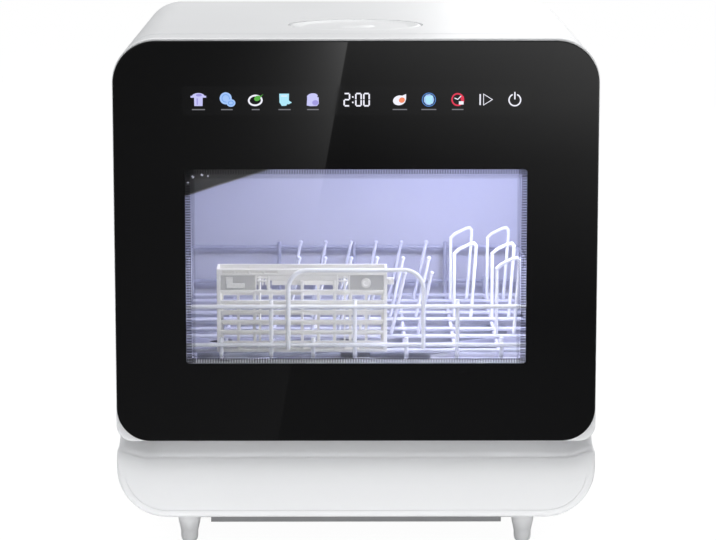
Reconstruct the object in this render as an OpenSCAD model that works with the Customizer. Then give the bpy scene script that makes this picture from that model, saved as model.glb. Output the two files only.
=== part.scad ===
// Countertop dishwasher with a drop-down glass door, a wire rack and a water tank
// Origin: middle of the footprint, on the worktop. The glass door faces -Y and +Z is up.

/* [Casing] */
// Overall width
body_w = 420; // [400:2:450]
// Overall depth, glass to rear panel
body_d = 435; // [425:5:480]
// Overall height, worktop to top
body_h = 450; // [448:2:500]
// Radius of the two upper edges
edge_r_top = 38; // [30:1:42]
// Radius of the two lower edges
edge_r_low = 44; // [36:1:46]
// Wall thickness of the casing
casing_t = 2.5; // [2:0.5:4]
// Height of the casing's underside
foot_h = 28; // [26:1:32]
// Radius of a foot where it meets the casing
foot_r = 17.5; // [14:0.5:19]
// Distance of a foot from the casing's side
foot_side = 62; // [56:1:80]

/* [Door] */
// Thickness of the whole door
door_t = 50; // [48:1:56]
// Gap between the door and the casing
seam = 1; // [0.6:0.2:2]
// Thickness of the outer glass
glass_t = 4; // [3:0.5:5]
// Height of the glass's lower edge
glass_low = 97.2; // [95:0.2:102]
// Rim of the door frame outside the glass
glass_rim = 0.8; // [0.5:0.1:2]
// Corner radius of the glass, top
glass_r_top = 36.5; // [24:0.5:36.5]
// Corner radius of the glass, bottom
glass_r_low = 29; // [20:1:34]
// Corner radius of the door's frame, bottom
door_r_low = 14; // [10:1:20]
// Width of the clear window
window_w = 296; // [240:2:304]
// Distance of the window's upper edge from the top
window_top = 113; // [110:1:140]
// Height of the window's lower edge
window_low = 166; // [164:1:176]
// Thickness of the door's moulded walls
door_wall = 3; // [2:0.5:4]

/* [Hinge] */
// Hinge axis, behind the glass
hinge_d = 28; // [27:0.5:29]
// Hinge axis, height
hinge_z = 116; // [114:1:117]
// Radius of the door's lower edge about the hinge
sweep_r = 34; // [32:1:35]
// Gap between that edge and the scoop under it
scoop_gap = 2; // [1.5:0.5:3]
// Radius of the hinge pins
pin_r = 4; // [3:0.5:5]
// Clearance of a pin in its bore
pin_gap = 0.05; // [0.03:0.01:0.08]
// Distance of a hinge plate from the casing's side
hinge_side = 24; // [23:1:26]

/* [Tub] */
// Inside of the tub's side walls, from the outside of the casing
tub_side = 34; // [33:1:38]
// Inside of the tub's back wall, from the rear
tub_back = 21; // [20:1:26]
// Inside of the tub's ceiling, from the top
tub_top = 50; // [49:1:56]
// Height of the tub's floor
tub_floor = 125; // [124:1:127]
// Wall thickness of the tub
tub_t = 2; // [1.5:0.5:3]
// Radius of the tub's long edges
tub_r = 22; // [14:1:28]
// Height of the ledges that carry the rack
rail_z = 150; // [149:0.5:151]
// Radius of the sump's mouth
sump_r = 68; // [64:1:72]
// Length of the lower spray arm
lower_arm_l = 320; // [260:5:330]
// Length of the upper spray arm
upper_arm_l = 250; // [200:5:256]

/* [Rack] */
// Radius of the rack's frame wires
wire_r = 1.9; // [1.5:0.1:2.2]
// Radius of the tines
tine_r = 1.6; // [1.2:0.1:1.9]
// Gap between the rack and the tub's side walls
rack_side = 10; // [9:0.5:12]
// Height of the upper frame wire
rack_high = 206.5; // [200:0.5:212]
// Height of the lower frame wire
rack_mid = 172; // [170:0.5:176]
// Height of the top of the grip
grip_z = 240; // [232:1:244]
// Distance between two tines
tine_pitch = 24.6; // [22:0.2:26]
// Height of the tips of the tines
tine_top = 222; // [210:1:226]
// Lean of the tines, in degrees
tine_lean = 12.5; // [0:0.5:15]
// Number of tines in a row
tine_count = 8; // [5:1:8]

/* [Cutlery basket] */
// Length of the basket
basket_l = 152; // [120:2:156]
// Width of the basket
basket_w = 28; // [24:1:32]
// Height of the basket's rim
basket_top = 239; // [225:1:240]
// Wall thickness of the basket
basket_t = 2; // [1.6:0.2:2.4]
// Distance between the slats of its lattice
slat_pitch = 9.1; // [8:0.1:11]

/* [Filler] */
// Radius of the round filler lid
lid_r = 61; // [50:1:66]
// Middle of the lid, behind the glass
lid_d = 147; // [130:1:180]

/* [Hidden] */
$fn = 48;

fit = 0.3;
touch = 0.05;
over = 1;

// Places along the depth are measured back from the front of the glass
function at(d) = d - body_d / 2;

casing_front = door_t + seam;
rear_t = casing_t;
rear_in = body_d - rear_t;
base_top = foot_h + casing_t;
lip_z = hinge_z - sweep_r - scoop_gap;
door_low = glass_low - 1;
cheek_t = 3;
hinge_x = body_w / 2 - hinge_side;
foot_x = body_w / 2 - foot_side;
window_h = body_h - window_top - window_low;
frame_back = door_t - 4;
inner_r = door_t - hinge_d;

tub_w = body_w / 2 - tub_side;
tub_rear = body_d - tub_back;
tub_ceiling = body_h - tub_top;
flange_d = casing_front + 5;
flange_t = 2.5;
flange_low = hinge_z + 1.5;
gasket_w = 5;
middle_d = (flange_d + tub_rear) / 2;

rack_w = tub_w - rack_side;
rack_front_d = flange_d + 4;
rack_rear_d = tub_rear - 12;
roller_r = 8;
rack_low = rail_z + fit + roller_r;
rack_bend = 12;
cross_z = rack_low + 2 * wire_r - 0.4;
basket_floor = cross_z + wire_r + fit;
basket_front_d = rack_front_d + 3 * wire_r + 3.3;
basket_x = 42 - rack_w;

arm_low = tub_floor + 12;
arm_t = 10;
upper_pipe_z = tub_ceiling - 9;
upper_arm_low = tub_ceiling - 34;
upper_arm_t = 8;
hub_r = 8;
pipe_r = 7;
hose_z = base_top + 17;
pump_z = base_top + 57;
rear_pipe_d = (tub_rear + tub_t + rear_in) / 2;

tank_top = body_h - 18;
tank_w = body_w / 2 - edge_r_top;
port_z = 80;
inlet_x = 80 - body_w / 2;
drain_x = inlet_x + 39;
pocket_depth = 18;
inlet_r = 13.2;
drain_r = 8;
port_collar = 2.5;

// Draws a flat X-Z outline and extends it along the depth
module along_depth(from, to) {
    translate([0, at(to), 0]) rotate([90, 0, 0]) linear_extrude(to - from) children();
}

// Draws a flat depth-height outline and extends it across the width
module across(from, to) {
    translate([from, at(0), 0]) rotate([90, 0, 90]) linear_extrude(to - from) children();
}

// A box from its lower front left corner, with the depth measured from the glass
module block(x, d, z, size) {
    translate([x, at(d), z]) cube(size);
}

// An upright outline with its own radius at the top and at the bottom
module outline(half_w, low, high, r_low, r_high) {
    translate([-half_w, low + r_low]) square([2 * half_w, high - low - r_low - r_high]);
    translate([r_low - half_w, low]) square([2 * (half_w - r_low), r_low + over]);
    translate([r_high - half_w, high - r_high - over]) square([2 * (half_w - r_high), r_high + over]);
    for (side = [-1, 1]) {
        translate([side * (half_w - r_low), low + r_low]) circle(r_low);
        translate([side * (half_w - r_high), high - r_high]) circle(r_high);
    }
}

// The casing seen from the front, drawn in by an inset
module casing_outline(inset) {
    outline(body_w / 2 - inset, foot_h + inset, body_h - inset, edge_r_low - inset, edge_r_top - inset);
}

// The door seen from the front, drawn in by an inset
module door_outline(inset) {
    outline(body_w / 2 - inset, door_low + inset, body_h - inset, door_r_low - inset, edge_r_top - inset);
}

// The tub's mouth, grown by a margin
module tub_outline(grow) {
    outline(tub_w + grow, tub_floor - grow, tub_ceiling + grow, tub_r + grow, tub_r + grow);
}

// The window's outline, grown by a margin
module window_outline(grow) {
    outline(window_w / 2 + grow, window_low - grow, window_low + window_h + grow, 3 + grow / 2, 3 + grow / 2);
}

// Matrix that puts Z on a direction, at a point
function unit(v) = v / norm(v);
function side_of(w) = unit(cross(abs(w[2]) < 0.9 ? [0, 0, 1] : [1, 0, 0], w));
function frame_at(p, ex, ey, ez) = [
    [ex[0], ey[0], ez[0], p[0]],
    [ex[1], ey[1], ez[1], p[1]],
    [ex[2], ey[2], ez[2], p[2]],
    [0, 0, 0, 1]
];

// A straight round bar between two points
module rod(a, b, r) {
    w = unit(b - a);
    u = side_of(w);
    multmatrix(frame_at(a, u, cross(w, u), w)) cylinder(r = r, h = norm(b - a));
}

// The quarter or part ring that turns one run of a bent bar into the next
module bend_at(p, u, v, r, bend) {
    angle = acos(u * v);
    inward = unit(v - (u * v) * u);
    start = p - u * bend * tan(angle / 2);
    multmatrix(frame_at(start + inward * bend, -inward, u, cross(-inward, u)))
        rotate_extrude(angle = angle) translate([bend, 0]) circle(r);
}

// A bar of one radius bent along its points
module bent_bar(points, r, bend) {
    last = len(points) - 1;
    dirs = [for (i = [0 : last - 1]) unit(points[i + 1] - points[i])];
    cut = [for (i = [0 : last])
        i == 0 || i == last ? 0 : bend * tan(acos(dirs[i - 1] * dirs[i]) / 2)];
    for (i = [0 : last - 1]) {
        a = points[i] + dirs[i] * cut[i];
        b = points[i + 1] - dirs[i] * cut[i + 1];
        if ((b - a) * dirs[i] > 0.01) rod(a, b, r);
    }
    for (i = [1 : 1 : last - 1]) bend_at(points[i], dirs[i - 1], dirs[i], r, bend);
}

// A bar of one radius with a small round knuckle at each kink
module kinked_bar(points, r) {
    last = len(points) - 1;
    for (i = [0 : last - 1]) rod(points[i], points[i + 1], r);
    for (i = [1 : last - 1]) translate(points[i]) sphere(r + 0.12);
}

// Casing

module cabinet_shell() {
    color("white") difference() {
        along_depth(casing_front, rear_in) difference() {
            casing_outline(0);
            casing_outline(casing_t);
        }
        translate([0, at(lid_d), body_h - casing_t - over])
            cylinder(r = lid_r + fit, h = casing_t + 2 * over);
        for (x = [-100 : 20 : 100])
            block(x - 3, 260, foot_h - over, [6, 60, casing_t + 2 * over]);
    }
}

pocket_x = inlet_x - inlet_r - 5;
pocket_w = drain_x - pocket_x + drain_r + 12;
pocket_low = port_z - inlet_r - 12;
pocket_high = port_z + inlet_r + 10;

module rear_panel() {
    color("lightgray") difference() {
        union() {
            along_depth(rear_in, body_d) casing_outline(0);
            block(pocket_x - rear_t, body_d - pocket_depth - rear_t, pocket_low - rear_t,
                [pocket_w + 2 * rear_t, pocket_depth + rear_t, pocket_high - pocket_low + 2 * rear_t]);
        }
        block(pocket_x, body_d - pocket_depth, pocket_low,
            [pocket_w, pocket_depth + over, pocket_high - pocket_low]);
        for (port = [[inlet_x, inlet_r], [drain_x, drain_r]])
            translate([port[0], at(body_d), port_z]) rotate([90, 0, 0])
                cylinder(r = port[1] + port_collar + fit / 2, h = pocket_depth + rear_t + over);
        translate([gland_x, at(body_d) + over, port_z]) rotate([90, 0, 0])
            cylinder(r = gland_r + fit / 2, h = rear_t + 2 * over);
        for (row = [0 : 7])
            block(-vent_l / 2, rear_in - over, vent_low + row * vent_pitch, [vent_l, rear_t + 2 * over, 4]);
    }
}

vent_l = 120;
vent_low = 230;
vent_pitch = 10;
gland_x = body_w / 2 - 90;
gland_r = 8;

// Depth-height section of the casing below the door up to a height, drawn in by an inset
module lower_section(inset, top) {
    r = 10 - inset;
    low = foot_h + inset;
    difference() {
        union() {
            translate([inset + r, low]) square([casing_front - inset - r, r + over]);
            translate([inset, low + r]) square([casing_front - inset, top - low - r - inset]);
            translate([inset + r, low + r]) circle(r);
            translate([hinge_d, low + r]) square([casing_front - hinge_d, hinge_z - low - r]);
        }
        translate([hinge_d, hinge_z]) circle(sweep_r + scoop_gap + inset);
    }
}

trough_r = sweep_r + scoop_gap;
trough_end = hinge_d + trough_r;

// Depth-height section of the wall that carries the scoop on behind the door, up to the tub
module trough_section() {
    intersection() {
        difference() {
            translate([hinge_d, hinge_z]) circle(trough_r + casing_t);
            translate([hinge_d, hinge_z]) circle(trough_r);
        }
        translate([casing_front - over, hinge_z - trough_r]) square([trough_r, trough_r + touch]);
    }
    translate([trough_end, hinge_z]) square([casing_t, tub_floor - tub_t - hinge_z]);
}

// A round bottomed line pressed into the front, where the panel meets its rim
module panel_line() {
    along_depth(-over, 0.7) difference() {
        casing_outline(3.6);
        casing_outline(4.4);
    }
}

module lower_front_panel() {
    half = body_w / 2;
    color("white") difference() {
        union() {
            difference() {
                intersection() {
                    along_depth(0, casing_front) casing_outline(0);
                    union() {
                        across(-half, half) lower_section(0, lip_z);
                        for (side = [-1, 1])
                            across(side * (half - cheek_t / 2) - cheek_t / 2, side * (half - cheek_t / 2) + cheek_t / 2)
                                lower_section(0, hinge_z - hinge_d - scoop_gap);
                    }
                }
                intersection() {
                    along_depth(casing_t, casing_front + over) casing_outline(casing_t);
                    across(-half, half) lower_section(casing_t, lip_z);
                }
            }
            intersection() {
                along_depth(casing_front - over, trough_end + casing_t) casing_outline(casing_t + fit);
                across(-half, half) trough_section();
            }
        }
        panel_line();
        for (side = [-1, 1])
            block(side * hinge_x - 4, hinge_d, hinge_z - 11, [8, body_d, 22]);
    }
}

foot_place = 29;
pan_w = body_w - 2 * edge_r_low;
pan_front = foot_place + foot_r + 0.5;
pan_d = body_d - 2 * pan_front;
pan_t = 11;

module base_pan() {
    color("gray") translate([0, at(pan_front + pan_d / 2), foot_h - pan_t]) difference() {
        linear_extrude(pan_t) pan_outline(0);
        translate([0, 0, -over]) linear_extrude(pan_t - casing_t + over) pan_outline(casing_t);
        for (x = [-100 : 20 : 100])
            translate([x - 3, 260 - pan_front - pan_d / 2, 0]) cube([6, 60, 2 * pan_t]);
    }
}

nose_d = 17;

// The base seen from above: a round cornered plate with a nose between the front feet
module pan_outline(inset) {
    nose_w = foot_x - foot_r - 1.5 - inset;
    translate([-nose_w, inset - pan_d / 2 - nose_d]) square([2 * nose_w, nose_d + 20]);
    w = pan_w / 2 - inset;
    d = pan_d / 2 - inset;
    r = 14 - inset;
    square([2 * (w - r), 2 * d], center = true);
    square([2 * w, 2 * (d - r)], center = true);
    for (x = [-1, 1], y = [-1, 1]) translate([x * (w - r), y * (d - r)]) circle(r);
}

neck_r = 9.6;
sole_r = 7.6;

// Half section of a foot: a rounded sole, a tapering neck and a flared top
function foot_section() =
    let (flare_z = foot_h - 9, waist_z = 10, steps = 6)
    concat(
        [[0, 0], [sole_r - 3.5, 0]],
        [for (k = [1 : steps]) let (a = 90 * k / steps) [sole_r - 3.5 + 3.5 * sin(a), 6 - 6 * cos(a)]],
        [[sole_r, waist_z], [neck_r, flare_z]],
        [for (k = [1 : steps]) let (t = k / steps)
            [neck_r + (foot_r - neck_r) * (1 - sqrt(1 - t * t)), flare_z + (foot_h - flare_z) * t]],
        [[0, foot_h]]
    );

module feet() {
    color("whitesmoke") for (x = [-foot_x, foot_x], d = [foot_place, body_d - foot_place])
        translate([x, at(d), 0]) rotate_extrude() polygon(foot_section());
}

// Tub and water circuit

module tub() {
    rail_w = 9;
    color("lightsteelblue") difference() {
        union() {
            along_depth(flange_d, tub_rear + tub_t) tub_outline(tub_t);
            intersection() {
                along_depth(flange_d, flange_d + flange_t) casing_outline(casing_t + fit);
                block(-body_w / 2, 0, flange_low, [body_w, body_d, body_h]);
            }
        }
        difference() {
            along_depth(flange_d - over, tub_rear) tub_outline(0);
            for (side = [-1, 1])
                block(side * (tub_w - rail_w / 2) - rail_w / 2 - 0.5, flange_d + 4, rail_z - 4,
                    [rail_w + 1, tub_rear - flange_d, 4]);
        }
        translate([0, at(middle_d), tub_floor - tub_t - over]) cylinder(r = sump_r, h = tub_t + 2 * over);
        translate([0, at(tub_rear) + tub_t + over, upper_pipe_z]) rotate([90, 0, 0])
            cylinder(r = pipe_r + touch, h = tub_t + 2 * over);
        translate([fan_x, at(fan_d), tub_floor - tub_t - over])
            cylinder(r = fan_neck_r - 2, h = tub_t + 2 * over);
        for (side = [-1, 1])
            block(side * hinge_x - 4, flange_d - over, flange_low - over, [8, flange_t + 2 * over, 12]);
        block(-lock_w / 2, flange_d - over, lock_z - lock_h / 2, [lock_w, flange_t + 2 * over, lock_h]);
    }
}

lock_w = 18;
lock_h = 16;
lock_z = (tub_ceiling + gasket_w + body_h) / 2 + 2;

module door_gasket() {
    color("dimgray") along_depth(door_t + fit, flange_d) difference() {
        outline(tub_w + gasket_w, flange_low + touch, tub_ceiling + gasket_w + 1, tub_r, tub_r);
        outline(tub_w + 0.5, flange_low + gasket_w, tub_ceiling + 1, tub_r - 4, tub_r - 4);
    }
}

sump_low = pump_z - 9;
stub_l = 14;

module sump() {
    wall = 2;
    color("lightgray") difference() {
        union() {
            translate([0, at(middle_d), tub_floor]) cylinder(r = sump_r + 6, h = 1.5);
            translate([0, at(middle_d), sump_low])
                cylinder(r = sump_r - touch, h = tub_floor - sump_low + over);
            translate([-sump_r - stub_l, at(middle_d), pump_z - 0.5]) rotate([0, 90, 0])
                cylinder(r = pipe_r, h = 2 * (sump_r + stub_l));
            translate([tank_stub_x, at(middle_d), pump_z + 4]) rotate([-90, 0, 0])
                cylinder(r = small_r, h = sump_r + 3);
        }
        translate([0, at(middle_d), sump_low + wall])
            cylinder(r = sump_r - wall, h = tub_floor - sump_low + 5);
        translate([0, at(middle_d), sump_low - over]) cylinder(r = feed_r + touch, h = 10);
        translate([-sump_r - stub_l - over, at(middle_d), pump_z - 0.5]) rotate([0, 90, 0])
            cylinder(r = pipe_r - 2, h = 2 * (sump_r + stub_l + over));
    }
}

feed_r = 14;
cup_r = 21;
cup_off = 38;
filter_z = tub_floor + 1.5;

module fine_filter() {
    color("silver") translate([0, at(middle_d), filter_z]) difference() {
        cylinder(r = sump_r + 4, h = 1.5);
        translate([0, 0, -over]) cylinder(r = feed_r + touch, h = 4);
        translate([0, -cup_off, -over]) cylinder(r = cup_r + fit, h = 4);
        for (ring = [0 : 2], k = [0 : 17])
            rotate(20 * k + 30) translate([44 + 9 * ring, 0, -over])
                if (norm([(44 + 9 * ring) * cos(20 * k + 30), (44 + 9 * ring) * sin(20 * k + 30) + cup_off]) > cup_r + 5)
                    cylinder(r = 1.8, h = 4);
    }
}

module filter_cup() {
    wall = 1.5;
    depth = filter_z - sump_low - 6;
    color("lightgray") translate([0, at(middle_d) - cup_off, filter_z]) difference() {
        union() {
            translate([0, 0, -depth]) cylinder(r = cup_r, h = depth + 1.5 + fit);
            translate([0, 0, 1.5 + fit]) cylinder(r = cup_r + 3, h = 1.5);
            translate([-2, -cup_r, 1.5]) cube([4, 2 * cup_r, 6]);
        }
        difference() {
            translate([0, 0, wall - depth]) cylinder(r = cup_r - wall, h = depth + 8);
            translate([-2, -cup_r - over, 1.5]) cube([4, 2 * cup_r + 2 * over, 6]);
        }
        for (k = [0 : 7])
            rotate(45 * k + 22.5) translate([cup_r - wall - over, -2, 6 - depth]) cube([4, 4, depth - 14]);
    }
}

module spray_hub() {
    color("gainsboro") translate([0, at(middle_d), 0]) difference() {
        union() {
            translate([0, 0, hose_z - 14]) cylinder(r = feed_r, h = arm_low - fit - hose_z + 14);
            translate([0, 0, arm_low - over]) cylinder(r = hub_r, h = arm_t + 3.5);
        }
        translate([0, 0, hose_z - 12]) cylinder(r = hub_r - 3, h = arm_low);
    }
}

// A two-bladed spray arm about Z, with slots for its jets and a bore for its hub
module spray_arm(length, t, bore, jet) {
    root = 23;
    tip = 13;
    reach = length / 2;
    difference() {
        union() {
            linear_extrude(t) {
                circle(root);
                for (turn = [0, 180]) rotate(turn) {
                    polygon([[0, -root + 2], [reach - tip, -tip], [reach - tip, tip], [0, root - 2]]);
                    translate([reach - tip, 0]) circle(tip);
                }
            }
            cylinder(r = 16, h = t + 2);
        }
        translate([0, 0, -over]) cylinder(r = bore, h = t + 5);
        for (turn = [0, 180], k = [0 : 5])
            rotate(turn) translate([34 + k * (reach - 52) / 5, (k % 2) * 8 - 4, t - 3])
                rotate([jet, 0, 0]) translate([-3, -1.2, -2]) cube([6, 2.4, 10]);
    }
}

module lower_spray_arm() {
    color("dimgray") translate([0, at(middle_d), arm_low]) rotate(24)
        spray_arm(lower_arm_l, arm_t - 2, hub_r + pin_gap, 8);
}

module lower_arm_nut() {
    color("gray") translate([0, at(middle_d), arm_low + arm_t]) difference() {
        cylinder(r = 13, h = 5);
        translate([0, 0, -over]) cylinder(r = hub_r + pin_gap, h = 4.5);
        for (k = [0 : 7]) rotate(45 * k) translate([14, 0, -over]) cylinder(r = 2.4, h = 8);
    }
}

module upper_feed_pipe() {
    tip_r = hub_r - 2;
    color("lightgray") difference() {
        union() {
            bent_bar([
                [0, at(middle_d) + feed_r + touch, hose_z],
                [0, at(rear_pipe_d), hose_z],
                [0, at(rear_pipe_d), upper_pipe_z],
                [0, at(middle_d), upper_pipe_z]
            ], pipe_r, pipe_r + 1);
            translate([0, at(middle_d), upper_arm_low + upper_arm_t + fit])
                cylinder(r = 13, h = tub_ceiling - upper_arm_low - upper_arm_t - fit);
            translate([0, at(middle_d), upper_arm_low - 3.5]) cylinder(r = tip_r, h = upper_arm_t + 8);
        }
        translate([0, at(middle_d), upper_arm_low - 3.5 - over]) cylinder(r = tip_r - 2, h = 18);
    }
}

module upper_spray_arm() {
    color("dimgray") translate([0, at(middle_d), upper_arm_low + upper_arm_t]) rotate([180, 0, 66])
        spray_arm(upper_arm_l, upper_arm_t - 2, hub_r - 2 + pin_gap, 8);
}

module upper_arm_nut() {
    color("gray") translate([0, at(middle_d), upper_arm_low - 5]) difference() {
        cylinder(r = 11, h = 5);
        translate([0, 0, 1.2]) cylinder(r = hub_r - 2 + pin_gap, h = 5);
        for (k = [0 : 7]) rotate(45 * k) translate([12, 0, -over]) cylinder(r = 2.2, h = 8);
    }
}

tank_front = flange_d + 38;
tank_rear = tub_rear;
neck = 26;

module water_tank() {
    low = tub_ceiling + tub_t;
    wall = 2;
    color("aliceblue") difference() {
        block(-tank_w, tank_front, low, [2 * tank_w, tank_rear - tank_front, tank_top - low]);
        block(wall - tank_w, tank_front + wall, low + wall,
            [2 * (tank_w - wall), tank_rear - tank_front - 2 * wall, tank_top - low - 2 * wall]);
        translate([0, at(lid_d), low + wall + over]) cylinder(r = neck + touch, h = tank_top);
        for (side = [-1, 1])
            translate([side * tank_pipe_x, at(tank_rear) + over, (low + tank_top) / 2]) rotate([90, 0, 0])
                cylinder(r = small_r - 1.5, h = wall + 2 * over);
    }
}

tank_pipe_x = tank_w - 12;
tank_stub_x = 40;
small_r = 6;

// Funnel under the lid: a rim against the casing, a seat for the lid and a neck into the tank
module filler_funnel() {
    seat_z = body_h - 6.5;
    rim_z = body_h - casing_t;
    color("white") translate([0, at(lid_d), 0]) rotate_extrude() polygon([
        [lid_r + 5, rim_z], [lid_r + fit, rim_z], [lid_r + fit, seat_z], [lid_r - 14, seat_z],
        [neck - 2, tank_top + 2.5], [neck - 2, tank_top - 6], [neck, tank_top - 6], [neck, tank_top],
        [lid_r - 12, seat_z - 2.5], [lid_r + 5, seat_z - 2.5]
    ]);
}

lid_low = body_h - 6.2;

module filler_lid() {
    color("whitesmoke") translate([0, at(lid_d), 0]) rotate_extrude() polygon([
        [0, body_h - 0.2], [9, body_h - 0.2], [14, body_h - 0.6], [18, body_h - 1.6],
        [lid_r - 13, body_h - 1.6], [lid_r - 7, body_h - 0.4], [lid_r - 4.5, body_h],
        [lid_r - 2.6, body_h - 0.3], [lid_r - 0.9, body_h - 1.6], [lid_r, body_h - 3.4],
        [lid_r, lid_low], [lid_r - 3, lid_low], [lid_r - 3, lid_low + 1.7],
        [0, lid_low + 1.7]
    ]);
}

module lid_seal() {
    color("dimgray") translate([0, at(lid_d), lid_low]) difference() {
        cylinder(r = lid_r - 3 - touch, h = 1.7);
        translate([0, 0, -over]) cylinder(r = lid_r - 9, h = 4);
    }
}

volute_x = sump_r + stub_l;
outlet_z = hose_z + pipe_r + 2;

module circulation_pump() {
    length = 70;
    outlet_x = volute_x + 12;
    color("dimgray") difference() {
        translate([0, at(middle_d), pump_z]) {
            translate([volute_x, 0, 0]) rotate([0, 90, 0]) cylinder(r = 28, h = 24);
            translate([volute_x + 23, 0, 0]) rotate([0, 90, 0]) cylinder(r = 25, h = length);
            translate([volute_x + 40, -18, base_top - pump_z]) cube([40, 36, pump_z - base_top - 15]);
            translate([outlet_x, 0, outlet_z - pump_z]) cylinder(r = pipe_r + 2, h = 14);
        }
        translate([outlet_x, at(middle_d), outlet_z - over]) cylinder(r = pipe_r - 2, h = 18);
    }
}

heater_from = 26;
heater_to = 72;

module heater() {
    color("silver") translate([heater_from, at(middle_d), hose_z]) rotate([0, 90, 0]) {
        cylinder(r = 12, h = heater_to - heater_from);
        for (x = [6 : 6 : heater_to - heater_from - 6]) translate([0, 0, x]) cylinder(r = 13.5, h = 2);
    }
}

module pressure_hoses() {
    x = volute_x + 12;
    color("darkgray") {
        bent_bar([
            [x, at(middle_d), outlet_z],
            [x, at(middle_d), hose_z],
            [heater_to, at(middle_d), hose_z]
        ], pipe_r, pipe_r + 2);
        rod([heater_from, at(middle_d), hose_z], [feed_r + touch, at(middle_d), hose_z], pipe_r);
    }
}

drain_pump_l = 46;

module drain_pump() {
    color("dimgray") translate([-volute_x, at(middle_d), pump_z]) rotate([0, -90, 0]) {
        cylinder(r = 20, h = 18);
        translate([0, 0, 17]) cylinder(r = 17, h = drain_pump_l);
    }
    color("dimgray") translate([-volute_x - 50, at(middle_d) - 10, base_top])
        cube([30, 20, pump_z - base_top - 12]);
}

module drain_hose() {
    turns = 12;
    from = middle_d + 20 + touch;
    to = body_d - pocket_depth - rear_t - 12;
    color("darkgray") translate([drain_x, at(from), port_z]) rotate([-90, 0, 0]) {
        cylinder(r = drain_r - 1.5, h = to - from);
        for (k = [1 : turns]) translate([0, 0, k * (to - from) / (turns + 1)]) cylinder(r = drain_r, h = 3);
    }
}

module drain_spigot() {
    color("black") translate([drain_x, at(body_d - pocket_depth - rear_t - 12), port_z]) rotate([-90, 0, 0])
        difference() {
            union() {
                cylinder(r = drain_r, h = pocket_depth + 12 + rear_t - 2);
                translate([0, 0, 12 - 2.5]) cylinder(r = drain_r + port_collar, h = rear_t + 3.5);
            }
            translate([0, 0, 2]) cylinder(r = drain_r - 2.5, h = 60);
        }
}

valve_d = 30;

module inlet_valve() {
    front = body_d - pocket_depth - rear_t - valve_d;
    color("royalblue") difference() {
        union() {
            block(inlet_x - 17, front, port_z - 17, [34, valve_d, 34]);
            translate([inlet_x, at(front + valve_d) - over, port_z]) rotate([-90, 0, 0]) {
                cylinder(r = inlet_r, h = rear_t + pocket_depth - 2 + over);
                cylinder(r = inlet_r + port_collar, h = rear_t + 1 + over);
            }
            translate([inlet_x, at(front + valve_d / 2), port_z + 16]) cylinder(r = 12, h = 16);
            translate([inlet_x - 16, at(front + valve_d / 2), port_z]) rotate([0, -90, 0])
                cylinder(r = small_r, h = 6);
        }
        translate([inlet_x, at(front + valve_d) + rear_t + 2, port_z]) rotate([-90, 0, 0])
            cylinder(r = inlet_r - 3, h = pocket_depth + over);
    }
}

module tank_hoses() {
    valve_mid = body_d - pocket_depth - rear_t - valve_d / 2;
    high = (tub_ceiling + tub_t + tank_top) / 2;
    bend = small_r + 2;
    color("lightgray") {
        bent_bar([
            [inlet_x - 22, at(valve_mid), port_z],
            [-tank_pipe_x, at(valve_mid), port_z],
            [-tank_pipe_x, at(rear_pipe_d), port_z],
            [-tank_pipe_x, at(rear_pipe_d), high],
            [-tank_pipe_x, at(tank_rear), high]
        ], small_r, bend);
        bent_bar([
            [tank_pipe_x, at(tank_rear), high],
            [tank_pipe_x, at(rear_pipe_d), high],
            [tank_pipe_x, at(rear_pipe_d), hose_z],
            [tank_pipe_x, at(inlet_pump_d + inlet_pump_l), hose_z]
        ], small_r, bend);
        bent_bar([
            [tank_pipe_x - inlet_pump_r - touch, at(inlet_pump_d + 12), hose_z],
            [tank_stub_x, at(inlet_pump_d + 12), hose_z],
            [tank_stub_x, at(inlet_pump_d + 12), pump_z + 4],
            [tank_stub_x, at(middle_d) + sump_r + 3 + touch, pump_z + 4]
        ], small_r, bend);
    }
}

inlet_pump_d = body_d - 105;
inlet_pump_l = 50;
inlet_pump_r = 16;

module inlet_pump() {
    color("black") {
        translate([tank_pipe_x, at(inlet_pump_d), hose_z]) rotate([-90, 0, 0])
            cylinder(r = inlet_pump_r, h = inlet_pump_l);
        block(tank_pipe_x - 18, inlet_pump_d + 5, base_top, [22, inlet_pump_l - 10, 8]);
    }
}

fan_x = 78 - body_w / 2;
fan_d = body_d - 105;
fan_neck_r = 14;

module drying_fan() {
    color("black") difference() {
        union() {
            translate([fan_x, at(fan_d), base_top]) cylinder(r = 30, h = 34);
            translate([fan_x, at(fan_d), base_top + 30])
                cylinder(r = fan_neck_r, h = tub_floor - tub_t - base_top - 30);
        }
        translate([fan_x, at(fan_d), base_top + 8]) cylinder(r = fan_neck_r - 2, h = tub_floor);
    }
}

module power_board() {
    left = 60 - body_w / 2;
    front = trough_end + 20;
    color("darkgreen") block(left, front, base_top, [110, 80, 4]);
    color("dimgray") {
        block(left + 10, front + 10, base_top + 3.5, [30, 26, 26]);
        for (x = [50 : 16 : 90]) block(left + x, front + 12, base_top + 3.5, [10, 18, 16]);
        block(left + 10, front + 46, base_top + 3.5, [80, 10, 14]);
    }
}

module mains_gland() {
    color("black") translate([gland_x, at(body_d), port_z]) rotate([90, 0, 0]) difference() {
        union() {
            cylinder(r = gland_r, h = rear_t + 10);
            translate([0, 0, rear_t]) cylinder(r = gland_r + 4, h = 5);
        }
        translate([0, 0, -over]) cylinder(r = 3.5, h = rear_t + 14);
    }
}

lamp_d = flange_d + 8;
lamp_t = 30;
lamp_low = tub_ceiling - 102;

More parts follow.
